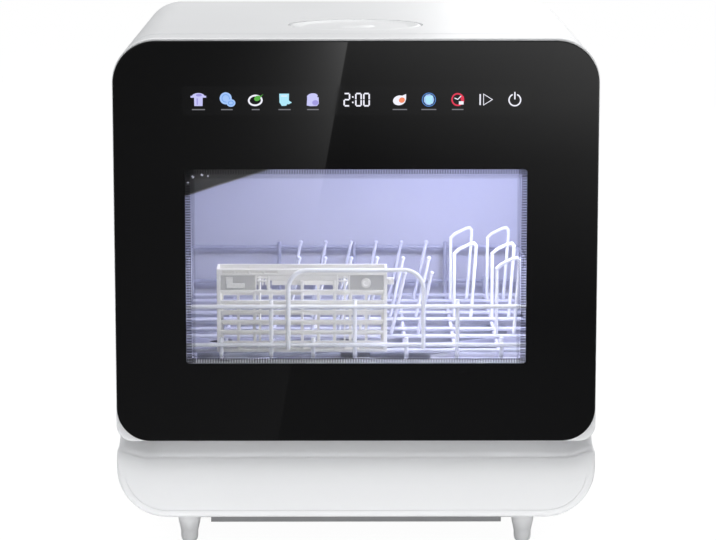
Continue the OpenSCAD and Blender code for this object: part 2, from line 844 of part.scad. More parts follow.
// Smoked cover in the upper left corner of the tub, with a sloping lower edge
module lamp_cover() {
    inner = tub_w - fit;
    color("dimgray") difference() {
        intersection() {
            along_depth(lamp_d, lamp_d + lamp_t) polygon([
                [-inner, lamp_low], [-30, lamp_low + 46], [-22, lamp_low + 56],
                [-22, tub_ceiling - fit], [-inner, tub_ceiling - fit]
            ]);
            along_depth(lamp_d, lamp_d + lamp_t) tub_outline(-fit);
        }
        along_depth(lamp_d + 2, lamp_d + lamp_t - 6) polygon([
            [6 - inner, lamp_low + 7], [-34, lamp_low + 50], [-34, tub_ceiling - 6], [6 - inner, tub_ceiling - 26]
        ]);
    }
}

module lamp_strip() {
    color("lavender") along_depth(lamp_d + 2, lamp_d + 8) translate([14 - tub_w, lamp_low + 14])
        rotate(atan2(43, tub_w - 40)) {
            square([70, 4]);
            for (x = [6 : 8 : 64]) translate([x, 4 - 0.5]) square([4, 2]);
        }
}

module door_lock() {
    depth = 26;
    color("black") difference() {
        block(-lock_w, flange_d + flange_t, lock_z - lock_h / 2 - 3, [2 * lock_w, depth, lock_h + 6]);
        block(-lock_w / 2, flange_d + flange_t - over, lock_z - lock_h / 2, [lock_w, depth - 6, lock_h]);
    }
}

arm_h = 12;

// Steel plate with its pin: the plate runs back beside the tub and down to the casing's floor
module hinge_brackets() {
    t = 3;
    round_x = hinge_x + t / 2 - body_w / 2 + edge_r_low;
    leg_low = foot_h + edge_r_low + fit - sqrt(pow(edge_r_low - casing_t, 2) - round_x * round_x);
    color("silver") for (side = [-1, 1]) {
        across(side * hinge_x - t / 2, side * hinge_x + t / 2) {
            translate([hinge_d, hinge_z]) circle(9);
            translate([hinge_d, hinge_z - arm_h / 2]) square([110, arm_h]);
            translate([hinge_d + 70, leg_low]) square([40, hinge_z - leg_low]);
        }
        translate([side * hinge_x - 10, at(hinge_d), hinge_z]) rotate([0, 90, 0]) cylinder(r = pin_r, h = 20);
    }
}

// Door

module door_glass() {
    color("black") along_depth(0, glass_t) outline(body_w / 2 - glass_rim, glass_low,
        body_h - 2, glass_r_low, glass_r_top);
}

// Depth-height section of the door's frame about the hinge, drawn in by an inset
module frame_section(inset) {
    translate([glass_t + inset, hinge_z]) square([frame_back - glass_t - inset + over, body_h - hinge_z]);
    intersection() {
        translate([hinge_d, hinge_z]) circle(sweep_r - inset);
        translate([glass_t + inset, hinge_z - sweep_r])
            square([hinge_d - 1 - glass_t - 2 * inset, sweep_r + over]);
    }
    intersection() {
        translate([hinge_d, hinge_z]) circle(frame_back - hinge_d - inset);
        translate([hinge_d - 1 - inset - over, hinge_z - sweep_r]) square([sweep_r, sweep_r + over]);
    }
}

module door_frame() {
    half = body_w / 2;
    color("white") difference() {
        union() {
            difference() {
                intersection() {
                    along_depth(glass_t, frame_back) door_outline(0);
                    across(-half, half) frame_section(0);
                }
                intersection() {
                    along_depth(glass_t + door_wall, frame_back + over) door_outline(door_wall);
                    across(door_wall - half, half - door_wall) frame_section(door_wall);
                }
            }
            for (side = [-1, 1], step = [-1, 1])
                hinge_seat(side * hinge_x + step * 8.5, 7);
        }
        along_depth(0, door_t) window_outline(window_grow);
        guide_hole(0);
        for (side = [-1, 1]) hinge_notch(side * hinge_x);
        translate([-half, at(hinge_d), hinge_z]) rotate([0, 90, 0]) cylinder(r = pin_r + pin_gap, h = body_w);
    }
}

window_grow = 8;

// A solid ear in the door frame that a hinge pin turns in
module hinge_seat(x, w) {
    intersection() {
        across(x - w / 2, x + w / 2) {
            translate([glass_t + 1, hinge_z - 10]) square([hinge_d - glass_t + 9, 26]);
            translate([hinge_d, hinge_z]) circle(frame_back - hinge_d - 1);
        }
        across(x - w, x + w) frame_section(1);
    }
}

// Room for a hinge plate as the door swings
module hinge_notch(x) {
    block(x - 3.5, hinge_d - 10, hinge_z - sweep_r - over, [7, door_t, sweep_r + over + 10]);
}

// The opening behind the touch symbols
module guide_hole(gap) {
    block(gap - guide_w / 2, 0, icon_z - 9 + gap, [guide_w - 2 * gap, glass_t + door_wall + over, 18 - 2 * gap]);
}

icon_z = body_h - 53;
guide_w = body_w - 104;

module light_guide() {
    color("white") intersection() {
        guide_hole(fit / 2);
        along_depth(glass_t, glass_t + door_wall) door_outline(0);
    }
}

module control_board() {
    back = glass_t + door_wall;
    color("darkgreen") block(-guide_w / 2 - 7, back, icon_z - 14, [guide_w + 14, 1.6, 28]);
    color("black") {
        block(-14, back + 1.5, icon_z - 8, [28, 6, 16]);
        for (x = [-145 : 28.5 : 140]) block(x, back + 1.5, icon_z - 4, [10, 3, 8]);
    }
}

module window_frame() {
    color("dimgray") along_depth(glass_t, frame_back - glass_t) difference() {
        window_outline(window_grow - fit);
        window_outline(window_grow - 3);
    }
    color("dimgray") along_depth(glass_t + door_wall + fit, frame_back - glass_t) difference() {
        window_outline(window_grow + 5);
        window_outline(window_grow - 1);
    }
}

module inner_window() {
    color("lightblue") along_depth(frame_back - glass_t, frame_back) window_outline(window_grow + 5);
}

disp_x = -60;
disp_w = 62;
disp_h = 36;
disp_low = window_low + window_h + window_grow + 9;

module door_inner_panel() {
    half = body_w / 2;
    color("lightsteelblue") difference() {
        intersection() {
            along_depth(hinge_d - 2, door_t) door_outline(0);
            across(-half, half) {
                translate([frame_back, hinge_z]) square([door_t - frame_back, body_h - hinge_z]);
                intersection() {
                    difference() {
                        translate([hinge_d, hinge_z]) circle(inner_r);
                        translate([hinge_d, hinge_z]) circle(frame_back - hinge_d);
                    }
                    translate([hinge_d, hinge_z - sweep_r]) square([sweep_r, sweep_r + touch]);
                }
            }
        }
        along_depth(0, door_t + over) window_outline(window_grow - 2);
        block(disp_x - 3, 0, disp_low - 3, [disp_w + 6, body_d, disp_h + 6]);
        for (side = [-1, 1]) hinge_notch(side * hinge_x);
        block(-hook_w / 2 - fit, 0, lock_z - 6 - fit, [hook_w + 2 * fit, body_d, 12 + 2 * fit]);
    }
}

module detergent_dispenser() {
    depth = 24;
    color("lightgray") difference() {
        block(disp_x - 3 + touch, door_t - depth, disp_low - 3 + touch,
            [disp_w + 6 - 2 * touch, depth - fit, disp_h + 6 - 2 * touch]);
        block(disp_x, door_t - depth + 2, disp_low, [disp_w - 16, depth, disp_h]);
    }
}

// Flat cover that slides sideways over the detergent pocket
module dispenser_slide() {
    color("whitesmoke") {
        block(disp_x - 2, door_t + touch, disp_low - 2, [disp_w - 12, 2, disp_h + 4]);
        block(disp_x + disp_w - 24, door_t + 1, disp_low + disp_h / 2 - 8, [3, 2.6, 16]);
    }
}

hook_w = 10;

module door_hook() {
    color("black") difference() {
        union() {
            block(-hook_w / 2, frame_back - 6, lock_z - 6, [hook_w, flange_d + 8 - frame_back + 6, 12]);
            block(-hook_w / 2 - 6, frame_back - 6, lock_z - 9, [hook_w + 12, 6, 18]);
        }
        block(-hook_w, flange_d + 1, lock_z - 7, [2 * hook_w, 4, 6]);
    }
}

// Rack

floor_bend = 9;
upright_gap = 2 * wire_r - 0.3;
uprights = [
    [-120, rack_mid], [-75.5, rack_high], [-38, rack_mid], [-1, rack_high],
    [45, rack_mid], [90.5, rack_high], [130, rack_mid]
];

// One end of the rack: two frame wires with their corners, and the bent-up ends of the floor wires
module rack_end(d, inward) {
    foot = d + inward * upright_gap;
    for (z = [rack_mid, rack_high])
        bent_bar([
            [-rack_w, at(d + inward * rack_bend), z],
            [-rack_w, at(d), z],
            [rack_w, at(d), z],
            [rack_w, at(d + inward * rack_bend), z]
        ], wire_r, rack_bend);
    for (wire = uprights)
        bent_bar([
            [wire[0], at(foot), wire[1] + 6],
            [wire[0], at(foot), rack_low],
            [wire[0], at(foot + inward * floor_bend), rack_low]
        ], wire_r, floor_bend);
}

module rack_front() {
    color("white") rack_end(rack_front_d, 1);
}

module rack_rear() {
    color("white") rack_end(rack_rear_d, -1);
}

side_from = rack_front_d + rack_bend;
side_to = rack_rear_d - rack_bend;

module rack_side_panel(side) {
    inner = rack_w - 2 * wire_r + 0.4;
    posts = 6;
    step = (side_to - side_from - 20) / (posts - 1);
    for (z = [rack_low, rack_mid, rack_high])
        rod([side * rack_w, at(side_from + touch), z], [side * rack_w, at(side_to - touch), z], wire_r);
    for (k = [0 : posts - 1])
        rod([side * inner, at(side_from + 10 + k * step), rack_low - wire_r],
            [side * inner, at(side_from + 10 + k * step), rack_high + wire_r + 1], wire_r);
}

module rack_left() {
    color("white") rack_side_panel(-1);
}

module rack_right() {
    color("white") rack_side_panel(1);
}

// Flat floor of lengthwise wires with the cross wires welded over them
module rack_floor() {
    front = rack_front_d + upright_gap + floor_bend + touch;
    rear = rack_rear_d - upright_gap - floor_bend - touch;
    reach = rack_w - 3 * wire_r - 0.5;
    color("white") {
        for (wire = uprights)
            rod([wire[0], at(front), rack_low], [wire[0], at(rear), rack_low], wire_r);
        for (d = [front + 14, front + 120, front + 205, rear - 14])
            rod([-reach, at(d), cross_z], [reach, at(d), cross_z], wire_r);
    }
}

module rack_handle() {
    half = 60;
    d = rack_front_d - 2 * wire_r - touch;
    color("white") bent_bar([
        [-half, at(d), rack_mid - 3],
        [-half, at(d), grip_z],
        [half, at(d), grip_z],
        [half, at(d), rack_mid - 3]
    ], wire_r, 17);
}

tine_first = rack_w - 96;
row_d = [rack_front_d + 94, rack_front_d + 181, rack_rear_d - 62];

// One cross wire with its leaning tines, the tallest point a rounded tip
module tine_row(d) {
    wire_z = rack_low + 2 * wire_r + touch;
    rise = tine_top - wire_z - wire_r - tine_r;
    foot_z = wire_z + wire_r + tine_r * sin(tine_lean) + touch;
    reach = rack_w - 3 * wire_r - 0.5;
    rod([-reach, at(d), wire_z], [reach, at(d), wire_z], wire_r);
    for (k = [0 : tine_count - 1])
        translate([tine_first - k * tine_pitch - rise * tan(tine_lean), at(d), foot_z])
            rotate([0, tine_lean, 0]) {
                cylinder(r = tine_r, h = rise / cos(tine_lean));
                translate([0, 0, rise / cos(tine_lean)]) sphere(tine_r + 0.4);
            }
}

module tine_row_front() {
    color("white") tine_row(row_d[0]);
}

module tine_row_middle() {
    color("white") tine_row(row_d[1]);
}

module tine_row_rear() {
    color("white") tine_row(row_d[2]);
}

// Sloping wire arches that cups hang over
module cup_loops() {
    low = rack_low + 3 * wire_r + 2 * touch;
    shoulder = grip_z - 15;
    peak = grip_z - 5;
    color("white") for (spot = [[72, 1], [72, 2], [36, 0], [36, 1], [36, 2]])
        translate([rack_w - spot[0], at(row_d[spot[1]]), 0]) kinked_bar([
            [0, 0, low], [0, 0, shoulder], [4, 0, shoulder + 4], [15, 0, peak - 0.5], [18.5, 0, peak],
            [20.5, 0, peak - 2.5], [20.5, 0, peak - 8], [16, 0, low]
        ], tine_r);
}

roller_w = 6;
roller_d = [rack_front_d + 90, rack_rear_d - 32];

module rack_rollers() {
    color("gray") for (side = [-1, 1], d = roller_d)
        translate([side * (rack_w + wire_r + touch + 0.6), at(d), rack_low]) rotate([0, side * 90, 0]) {
            cylinder(r = roller_r, h = roller_w - 1);
            translate([0, 0, -0.6]) cylinder(r = 3, h = roller_w + 1);
        }
}

basket_draft = 2.8;

// Front view of the basket, wider at its rim
module basket_outline(inset, top) {
    low = basket_floor + inset;
    polygon([
        [basket_x + inset, top], [basket_x + basket_draft + inset, low],
        [basket_x + basket_l - basket_draft - inset, low], [basket_x + basket_l - inset, top]
    ]);
}

// The lattice and the upper slots of the basket's long walls
module basket_lattice() {
    bar = 2.4;
    column = 14.4;
    rows = 6;
    columns = 10;
    for (row = [0 : rows - 1], k = [0 : columns - 1])
        translate([basket_x + 5 + k * column, basket_floor + 4 + row * slat_pitch])
            square([column - bar, slat_pitch - bar]);
    for (x = [basket_x + 38, basket_x + 106], k = [0 : 3])
        translate([x + k * 3, basket_top - 22]) square([1.6, 9]);
}

// The tray holds the ends, the floor and the partitions
module cutlery_basket() {
    back = basket_front_d + basket_w;
    color("ivory") {
        along_depth(basket_front_d + basket_t, back - basket_t) difference() {
            basket_outline(0, basket_top);
            basket_outline(basket_t, basket_top + over);
        }
        for (k = [1 : 3])
            block(basket_x + k * basket_l / 4 - 0.8, basket_front_d + basket_t, basket_floor + 1,
                [1.6, basket_w - 2 * basket_t, basket_top - basket_floor - 12]);
    }
}

// One of the two long lattice walls that clip to the tray
module basket_wall(d) {
    along_depth(d, d + basket_t) difference() {
        basket_outline(0, basket_top);
        basket_lattice();
    }
}

module basket_front_wall() {
    color("ivory") {
        basket_wall(basket_front_d);
        for (k = [0 : 3])
            block(basket_x + 10 + k * 14, basket_front_d - 0.8, basket_top - 4, [10, 1.8, 2]);
        block(basket_x + basket_l - 8, basket_front_d - 1.5, basket_top - 20, [6, 2, 8]);
        for (x = [9, 120]) block(basket_x + x, basket_front_d - 1, basket_top - 28, [26, 1.5, 18]);
        translate([basket_x + 133, at(basket_front_d - 1), basket_top - 13]) rotate([90, 0, 0])
            cylinder(r = 4, h = 2);
    }
}

module basket_rear_wall() {
    color("ivory") basket_wall(basket_front_d + basket_w - basket_t);
}

cabinet_shell();
rear_panel();
lower_front_panel();
base_pan();
feet();
tub();
door_gasket();
sump();
fine_filter();
filter_cup();
spray_hub();
lower_spray_arm();
lower_arm_nut();
upper_feed_pipe();
upper_spray_arm();
upper_arm_nut();
water_tank();
filler_funnel();
filler_lid();
lid_seal();
circulation_pump();
heater();
drain_pump();
inlet_pump();
drying_fan();
power_board();
pressure_hoses();
drain_hose();
tank_hoses();
inlet_valve();
drain_spigot();
mains_gland();
lamp_cover();
lamp_strip();
door_lock();
hinge_brackets();
door_glass();
door_frame();
door_inner_panel();
window_frame();
inner_window();
light_guide();
control_board();
detergent_dispenser();
dispenser_slide();
door_hook();
rack_front();
rack_rear();
rack_left();
rack_right();
rack_floor();
rack_handle();
tine_row_front();
tine_row_middle();
tine_row_rear();
cup_loops();
rack_rollers();
cutlery_basket();
basket_front_wall();
basket_rear_wall();
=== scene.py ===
"""Looks of a countertop dishwasher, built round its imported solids. Pieces are in mm, the studio in metres."""
import math

import bmesh
import bpy
import numpy as np
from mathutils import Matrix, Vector


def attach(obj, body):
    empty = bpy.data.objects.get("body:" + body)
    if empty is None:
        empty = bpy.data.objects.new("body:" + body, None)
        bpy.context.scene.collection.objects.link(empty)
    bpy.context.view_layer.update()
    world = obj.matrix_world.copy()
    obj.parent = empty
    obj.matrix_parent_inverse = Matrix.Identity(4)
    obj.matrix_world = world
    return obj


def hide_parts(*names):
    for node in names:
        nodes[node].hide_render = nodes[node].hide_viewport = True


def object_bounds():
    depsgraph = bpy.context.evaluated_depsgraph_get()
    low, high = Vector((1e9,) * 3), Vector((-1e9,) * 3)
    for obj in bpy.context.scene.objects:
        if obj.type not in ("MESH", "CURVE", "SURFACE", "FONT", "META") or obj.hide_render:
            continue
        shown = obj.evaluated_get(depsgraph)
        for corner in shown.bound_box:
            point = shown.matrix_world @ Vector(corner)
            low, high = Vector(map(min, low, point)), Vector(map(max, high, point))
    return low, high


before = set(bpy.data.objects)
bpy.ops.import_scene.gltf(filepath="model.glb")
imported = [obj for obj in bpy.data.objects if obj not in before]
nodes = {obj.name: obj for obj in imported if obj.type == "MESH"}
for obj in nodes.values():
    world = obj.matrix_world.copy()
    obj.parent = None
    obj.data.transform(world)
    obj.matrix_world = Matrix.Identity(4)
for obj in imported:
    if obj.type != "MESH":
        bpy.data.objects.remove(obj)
cad_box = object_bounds()

# Studio
# A white sweep under and behind the machine, with large soft lamps round it and two small ones in its tub.
# Gloss sees a pattern of light where the floor is, and the door's glass shows it as a soft diagonal streak.


def node(tree, kind, **values):
    """A shader node with its settings and inputs: i0 is its first input, and a socket given is linked."""
    made = tree.nodes.new(kind)
    for key, value in values.items():
        if key in ("operation", "data_type", "use_clamp"):
            setattr(made, key, value)
            continue
        socket = made.inputs[int(key[1:]) if key[1:].isdigit() else key]
        if isinstance(value, bpy.types.NodeSocket):
            tree.links.new(value, socket)
        else:
            socket.default_value = value
    return made


def sums(tree, operation, a, b=0.0, c=0.0, clamp=False):
    """The value output of a Math node."""
    return node(tree, "ShaderNodeMath", operation=operation, i0=a, i1=b, i2=c, use_clamp=clamp).outputs[0]


sweep_reach = 14.0
sweep = bpy.data.objects.new("white_sweep", bpy.data.meshes.new("white_sweep"))
sweep.data.from_pydata([(-sweep_reach, -sweep_reach, 0), (sweep_reach, -sweep_reach, 0),
                        (sweep_reach, sweep_reach, 0), (-sweep_reach, sweep_reach, 0)], [], [(0, 1, 2, 3)])
bpy.context.scene.collection.objects.link(sweep)

glass_y = round(cad_box[0][1], 4)
camera_place = (-0.009, -2.7575, 0.6694)
# The streak's edge, lean and fade are in mm across, and starts are shares of the way to the camera
streak_edge, streak_lean, streak_fade = -85.3, 39.8, 95.0
left_start, left_slope, left_least = 0.75, 1.25, 0.06
right_start, right_slope = 1.06, 0.36
corner_start, corner_slope = 0.45, 0.00105
floor_least, floor_most = 0.10, 1.6
paper_light, paper_share = 1.10, 0.88

paper = bpy.data.materials.new("white studio sweep")
paper.use_nodes = True
tree = paper.node_tree
tree.nodes.clear()
coords = node(tree, "ShaderNodeSeparateXYZ", Vector=tree.nodes.new("ShaderNodeTexCoord").outputs["Object"])
across = sums(tree, "MULTIPLY", coords.outputs["X"], 1000.0)
# Distance of a floor point before the glass, as a share of the camera's
run = sums(tree, "DIVIDE", sums(tree, "SUBTRACT", glass_y, coords.outputs["Y"]), glass_y - camera_place[1])
beyond = sums(tree, "SUBTRACT", across, sums(tree, "MULTIPLY_ADD", run, streak_lean, streak_edge))
is_left = sums(tree, "LESS_THAN", beyond, 0.0)


def rise(start, slope, least):
    """How far the run is past a start, times a slope, and no less than the least."""
    return sums(tree, "MAXIMUM", sums(tree, "MULTIPLY", sums(tree, "SUBTRACT", run, start), slope), least)


# Left of the streak's edge the light fades away from it, and right of it a faint light grows to the corner
left_light = sums(tree, "MULTIPLY", sums(tree, "EXPONENT", sums(tree, "DIVIDE", beyond, streak_fade)),
                  rise(left_start, left_slope, left_least))
corner_light = sums(tree, "MULTIPLY", sums(tree, "MAXIMUM", across, 0.0), sums(
    tree, "MULTIPLY", sums(tree, "SUBTRACT", run, corner_start, clamp=True), corner_slope))
right_light = sums(tree, "ADD", rise(right_start, right_slope, 0.0), corner_light)
pattern = sums(tree, "ADD", sums(tree, "MULTIPLY", is_left, left_light),
               sums(tree, "MULTIPLY", sums(tree, "SUBTRACT", 1.0, is_left), right_light))
card = node(tree, "ShaderNodeEmission",
            Strength=sums(tree, "ADD", floor_least, sums(tree, "MINIMUM", pattern, floor_most)))

path = tree.nodes.new("ShaderNodeLightPath")
seen = sums(tree, "MAXIMUM", path.outputs["Is Camera Ray"], path.outputs["Is Transmission Ray"])
white = node(tree, "ShaderNodeEmission", Color=(1, 1, 1, 1), Strength=paper_light)
matt = node(tree, "ShaderNodeBsdfDiffuse", Color=(0.86, 0.86, 0.865, 1))
lit = node(tree, "ShaderNodeMixShader", i0=sums(tree, "MULTIPLY", seen, paper_share),
           i1=matt.outputs[0], i2=white.outputs[0])
mixed = node(tree, "ShaderNodeMixShader", i0=path.outputs["Is Glossy Ray"],
             i1=lit.outputs[0], i2=card.outputs[0])
node(tree, "ShaderNodeOutputMaterial", Surface=mixed.outputs[0])
sweep.data.materials.append(paper)

world = bpy.data.worlds.new("white studio")
bpy.context.scene.world = world
world.use_nodes = True
tree = world.node_tree
tree.nodes.clear()
path = tree.nodes.new("ShaderNodeLightPath")
seen = sums(tree, "MAXIMUM", path.outputs["Is Camera Ray"], path.outputs["Is Transmission Ray"])
soft = node(tree, "ShaderNodeBackground", Color=(0.96, 0.98, 1.0, 1), Strength=0.29)
bright = node(tree, "ShaderNodeBackground", Color=(1, 1, 1, 1), Strength=1.0)
both = node(tree, "ShaderNodeMixShader", i0=seen, i1=soft.outputs[0], i2=bright.outputs[0])
node(tree, "ShaderNodeOutputWorld", Surface=both.outputs[0])


def lamp(name, place, target, power, size=None, radius=0.0, colour=(1, 1, 1), in_gloss=True):
    """A lamp at a place in metres, turned to a target: a rectangle of a size, or a wide spot of a radius."""
    light = bpy.data.lights.new(name, "AREA" if size else "SPOT")
    if size:
        light.shape, light.size, light.size_y = "RECTANGLE", size[0], size[1]
    else:
        light.spot_size, light.spot_blend, light.shadow_soft_size = math.radians(165), 0.7, radius
    light.energy, light.color = power, colour
    thing = bpy.data.objects.new(name, light)
    thing.location = place
    thing.rotation_euler = (Vector(target) - Vector(place)).to_track_quat("-Z", "Y").to_euler()
    thing.visible_camera = False
    thing.visible_glossy = in_gloss
    bpy.context.scene.collection.objects.link(thing)


large = (1.6, 1.6)
lamp("key", (-1.8, -1.9, 2.3), (0, 0, 0.25), 11, large)
lamp("fill", (2.3, -1.7, 1.3), (0, 0, 0.2), 10, large)
lamp("front", (0.0, -3.0, 0.55), (0, 0, 0.2), 15, (2.0, 0.7), in_gloss=False)
lamp("rear", (0.9, 2.9, 1.3), (0, 0, 0.2), 12, large)
lamp("overhead", (0.0, 0.4, 2.3), (0, 0.4, 0.45), 34, large)
lamp("floor_glow", (0.0, -0.272, 0.012), (0, -0.272, 1), 0.28, (0.95, 0.10), in_gloss=False)
lamp("hollow_glow", (0.0, -0.2035, 0.0935), (0, -0.18, 0.088), 0.022, (0.40, 0.006), in_gloss=False)
lamp("tub_glow", (0.145, -0.05, 0.372), (0.05, 0.07, 0.15), 4.6, radius=0.045, colour=(0.64, 0.67, 1.0),
     in_gloss=False)
lamp("mouth_glow", (0.075, -0.145, 0.375), (0.03, -0.15, 0.1), 3.3, radius=0.025, colour=(1, 0.99, 0.97),
     in_gloss=False)

camera = bpy.data.objects.new("camera", bpy.data.cameras.new("camera"))
camera.location = camera_place
sight = Vector((0.0042, 1.0, -0.1655))
camera.rotation_mode = "QUATERNION"
camera.rotation_quaternion = sight.to_track_quat("-Z", "Y")
camera.data.lens = 149.2
camera.data.sensor_width = 36
bpy.context.scene.collection.objects.link(camera)
bpy.context.scene.camera = camera
bpy.context.scene.view_settings.view_transform = "Standard"

# Casing
# A white wrap of gloss plastic with round long edges, open at the front and closed by a pressed rear panel.
# The wrap has a round hole in its top for the filler and a row of vents in its underside.
half_w = round(cad_box[1][0] * 1000, 1)
total_h = round(cad_box[1][2] * 1000, 1)
total_d = round((cad_box[1][1] - cad_box[0][1]) * 1000, 1)
underside = 28
edge_top, edge_low = 38, 44
casing_wall = 2.5
casing_front = 51
corner_points = 18
sharp_angle = 32


def shaded(thing):
    """Smooth shading with hard edges over an angle, where wide flat faces keep their own normals."""
    thing.data.shade_smooth()
    thing.data.set_sharp_from_angle(angle=math.radians(sharp_angle))
    normals = thing.modifiers.new("normals", "WEIGHTED_NORMAL")
    normals.keep_sharp = True
    return thing


def mesh_object(name, points, faces):
    """A closed mesh from points in mm (across, behind the glass, up) and faces, turned outwards."""
    p = np.asarray(points, float).reshape(-1, 3)
    p = np.column_stack([p[:, 0], p[:, 1] - total_d / 2, p[:, 2]]) / 1000
    mesh = bpy.data.meshes.new(name)
    mesh.from_pydata(p.tolist(), [], faces)
    work = bmesh.new()
    work.from_mesh(mesh)
    bmesh.ops.remove_doubles(work, verts=work.verts, dist=2e-6)
    bmesh.ops.dissolve_degenerate(work, edges=work.edges, dist=1e-7)
    bmesh.ops.recalc_face_normals(work, faces=work.faces)
    work.to_mesh(mesh)
    work.free()
    thing = bpy.data.objects.new(name, mesh)
    bpy.context.scene.collection.objects.link(thing)
    return shaded(thing)


def skin(name, grid, loop_rows=False, cap=False):
    """Skin over rows of points: each row closes on itself, and a quad joins four neighbours of two rows.
    The rows may close on each other too, or the first and the last are capped by one flat face each."""
    g = np.asarray(grid, float)
    rows, cols = g.shape[:2]
    at = np.arange(rows * cols).reshape(rows, cols)
    ring = np.hstack([at, at[:, :1]])
    if loop_rows:
        ring = np.vstack([ring, ring[:1]])
    quads = np.stack([ring[:-1, :-1], ring[:-1, 1:], ring[1:, 1:], ring[1:, :-1]], -1).reshape(-1, 4)
    faces = quads.tolist()
    if cap:
        faces += [at[0][::-1].tolist(), at[-1].tolist()]
    return mesh_object(name, g, faces)


def outline(half, low, high, r_low, r_high, inset=0.0):
    """Upright outline with round corners, drawn in by an inset: centre + (r - inset) * (cos a, sin a)."""
    a = np.radians(np.linspace(0, 90, corner_points))
    points = []
    for start, side, r, level in ((-90, 1, r_low, low + r_low), (0, 1, r_high, high - r_high),
                                  (90, -1, r_high, high - r_high), (180, -1, r_low, low + r_low)):
        turn = a + math.radians(start)
        points.append(np.column_stack([side * (half - r) + (r - inset) * np.cos(turn),
                                       level + (r - inset) * np.sin(turn)]))
    return np.vstack(points)


def rings(section, shape):
    """Rows of points: for each (depth, inset) of a section, the outline drawn in by that inset."""
    rows = []
    for depth, inset in section:
        flat = shape(inset)
        rows.append(np.column_stack([flat[:, 0], np.full(len(flat), depth), flat[:, 1]]))
    return np.array(rows)


def cut_cube():
    """Corners and faces of a cube with its edges cut off: a corner lies at 0.5 on one axis and 0.4 on two."""
    work = bmesh.new()
    bmesh.ops.create_cube(work, size=1)
    bmesh.ops.bevel(work, geom=work.edges[:], offset=0.1, segments=1, profile=0.5, affect="EDGES")
    corners = np.array([v.co[:] for v in work.verts])
    faces = [[v.index for v in f.verts] for f in work.faces]
    work.free()
    return corners, faces


def boxes(name, centres, sizes, cut=0.0):
    """Many small blocks in one mesh, each from its centre and three sizes, with edges cut by so many mm."""
    c, s = np.asarray(centres, float).reshape(-1, 1, 3), np.asarray(sizes, float).reshape(-1, 1, 3)
    if cut:
        corner, side = cut_cube()
        points = c + np.sign(corner) * (s / 2 - cut * (np.abs(corner) < 0.45))
    else:
        corner = np.array([[x, y, z] for x in (-1, 1) for y in (-1, 1) for z in (-1, 1)]) / 2
        side = [[0, 1, 3, 2], [4, 6, 7, 5], [0, 4, 5, 1], [2, 3, 7, 6], [0, 2, 6, 4], [1, 5, 7, 3]]
        points = c + s * corner
    faces = [[i + len(corner) * k for i in f] for k in range(len(c)) for f in side]
    return mesh_object(name, points.reshape(-1, 3), faces)


def turned(name, profile, centre, axis="z", steps=64, loop=False):
    """A turned piece: each (radius, distance along the axis) goes round it as radius * (cos a, sin a)."""
    a = np.linspace(0, 2 * math.pi, steps, endpoint=False)
    order = {"z": [0, 1, 2], "y": [0, 2, 1], "x": [2, 0, 1]}[axis]
    rows = [np.column_stack([r * np.cos(a), r * np.sin(a), np.full(steps, h)])[:, order] for r, h in profile]
    return skin(name, np.array(rows) + np.array(centre), loop_rows=loop)


def drill(centre, r, start, end, axis="z"):
    """A cylinder of radius r that cuts a round hole along an axis."""
    return turned("drill", [(0, start), (r, start), (r, end), (0, end)], centre, axis)


def carved(thing, cutter):
    """A piece with a cutter's volume taken out of it, and the cutter deleted."""
    thing.modifiers.clear()
    cutter.modifiers.clear()
    cut = thing.modifiers.new("cut", "BOOLEAN")
    cut.object, cut.operation, cut.solver = cutter, "DIFFERENCE", "EXACT"
    graph = bpy.context.evaluated_depsgraph_get()
    mesh = bpy.data.meshes.new_from_object(thing.evaluated_get(graph))
    thing.modifiers.clear()
    thing.data = mesh
    bpy.data.objects.remove(cutter)
    return shaded(thing)


def group(name, inputs, output):
    """An empty shader node group with named float inputs and one output, and its two end nodes."""
    tree = bpy.data.node_groups.new(name, "ShaderNodeTree")
    for label, value in inputs:
        socket = tree.interface.new_socket(label, in_out="INPUT", socket_type="NodeSocketFloat")
        socket.default_value = value
    tree.interface.new_socket(output, in_out="OUTPUT", socket_type="NodeSocketFloat")
    return tree, tree.nodes.new("NodeGroupInput"), tree.nodes.new("NodeGroupOutput")


# Fine grain of a moulded face: two sizes of noise, and the height is their sum.
grain_group, ins, outs = group("moulded grain", [("Size", 1.0)], "Height")
place = grain_group.nodes.new("ShaderNodeTexCoord").outputs["Object"]
pitch = sums(grain_group, "DIVIDE", 1000.0, ins.outputs["Size"])
coarse = node(grain_group, "ShaderNodeTexNoise", Vector=place, Scale=pitch, Detail=2.0, Roughness=0.6)
fine = node(grain_group, "ShaderNodeTexNoise", Vector=place, Scale=sums(grain_group, "MULTIPLY", pitch, 3.1),
            Detail=1.0, Roughness=0.5)
grain_group.links.new(sums(grain_group, "ADD", coarse.outputs[0],
                           sums(grain_group, "MULTIPLY", fine.outputs[0], 0.4)), outs.inputs[0])

# Slow change of tone and gloss over a moulded or painted face: wide noise, sharpened to patches.
patch_group, ins, outs = group("slow patches", [("Size", 60.0), ("Contrast", 1.0)], "Mask")
place = patch_group.nodes.new("ShaderNodeTexCoord").outputs["Object"]
wide = node(patch_group, "ShaderNodeTexNoise", Vector=place,
            Scale=sums(patch_group, "DIVIDE", 1000.0, ins.outputs["Size"]), Detail=3.0, Roughness=0.55)
centred = sums(patch_group, "SUBTRACT", wide.outputs[0], 0.5)
steep = sums(patch_group, "MULTIPLY", centred, sums(patch_group, "MULTIPLY", ins.outputs["Contrast"], 2.0))
patch_group.links.new(sums(patch_group, "ADD", steep, 0.5, clamp=True), outs.inputs[0])


def placed(tree, source, **values):
    """A shader node group placed in a material, with its inputs set."""
    made = tree.nodes.new("ShaderNodeGroup")
    made.node_tree = source
    for key, value in values.items():
        made.inputs[key].default_value = value
    return made


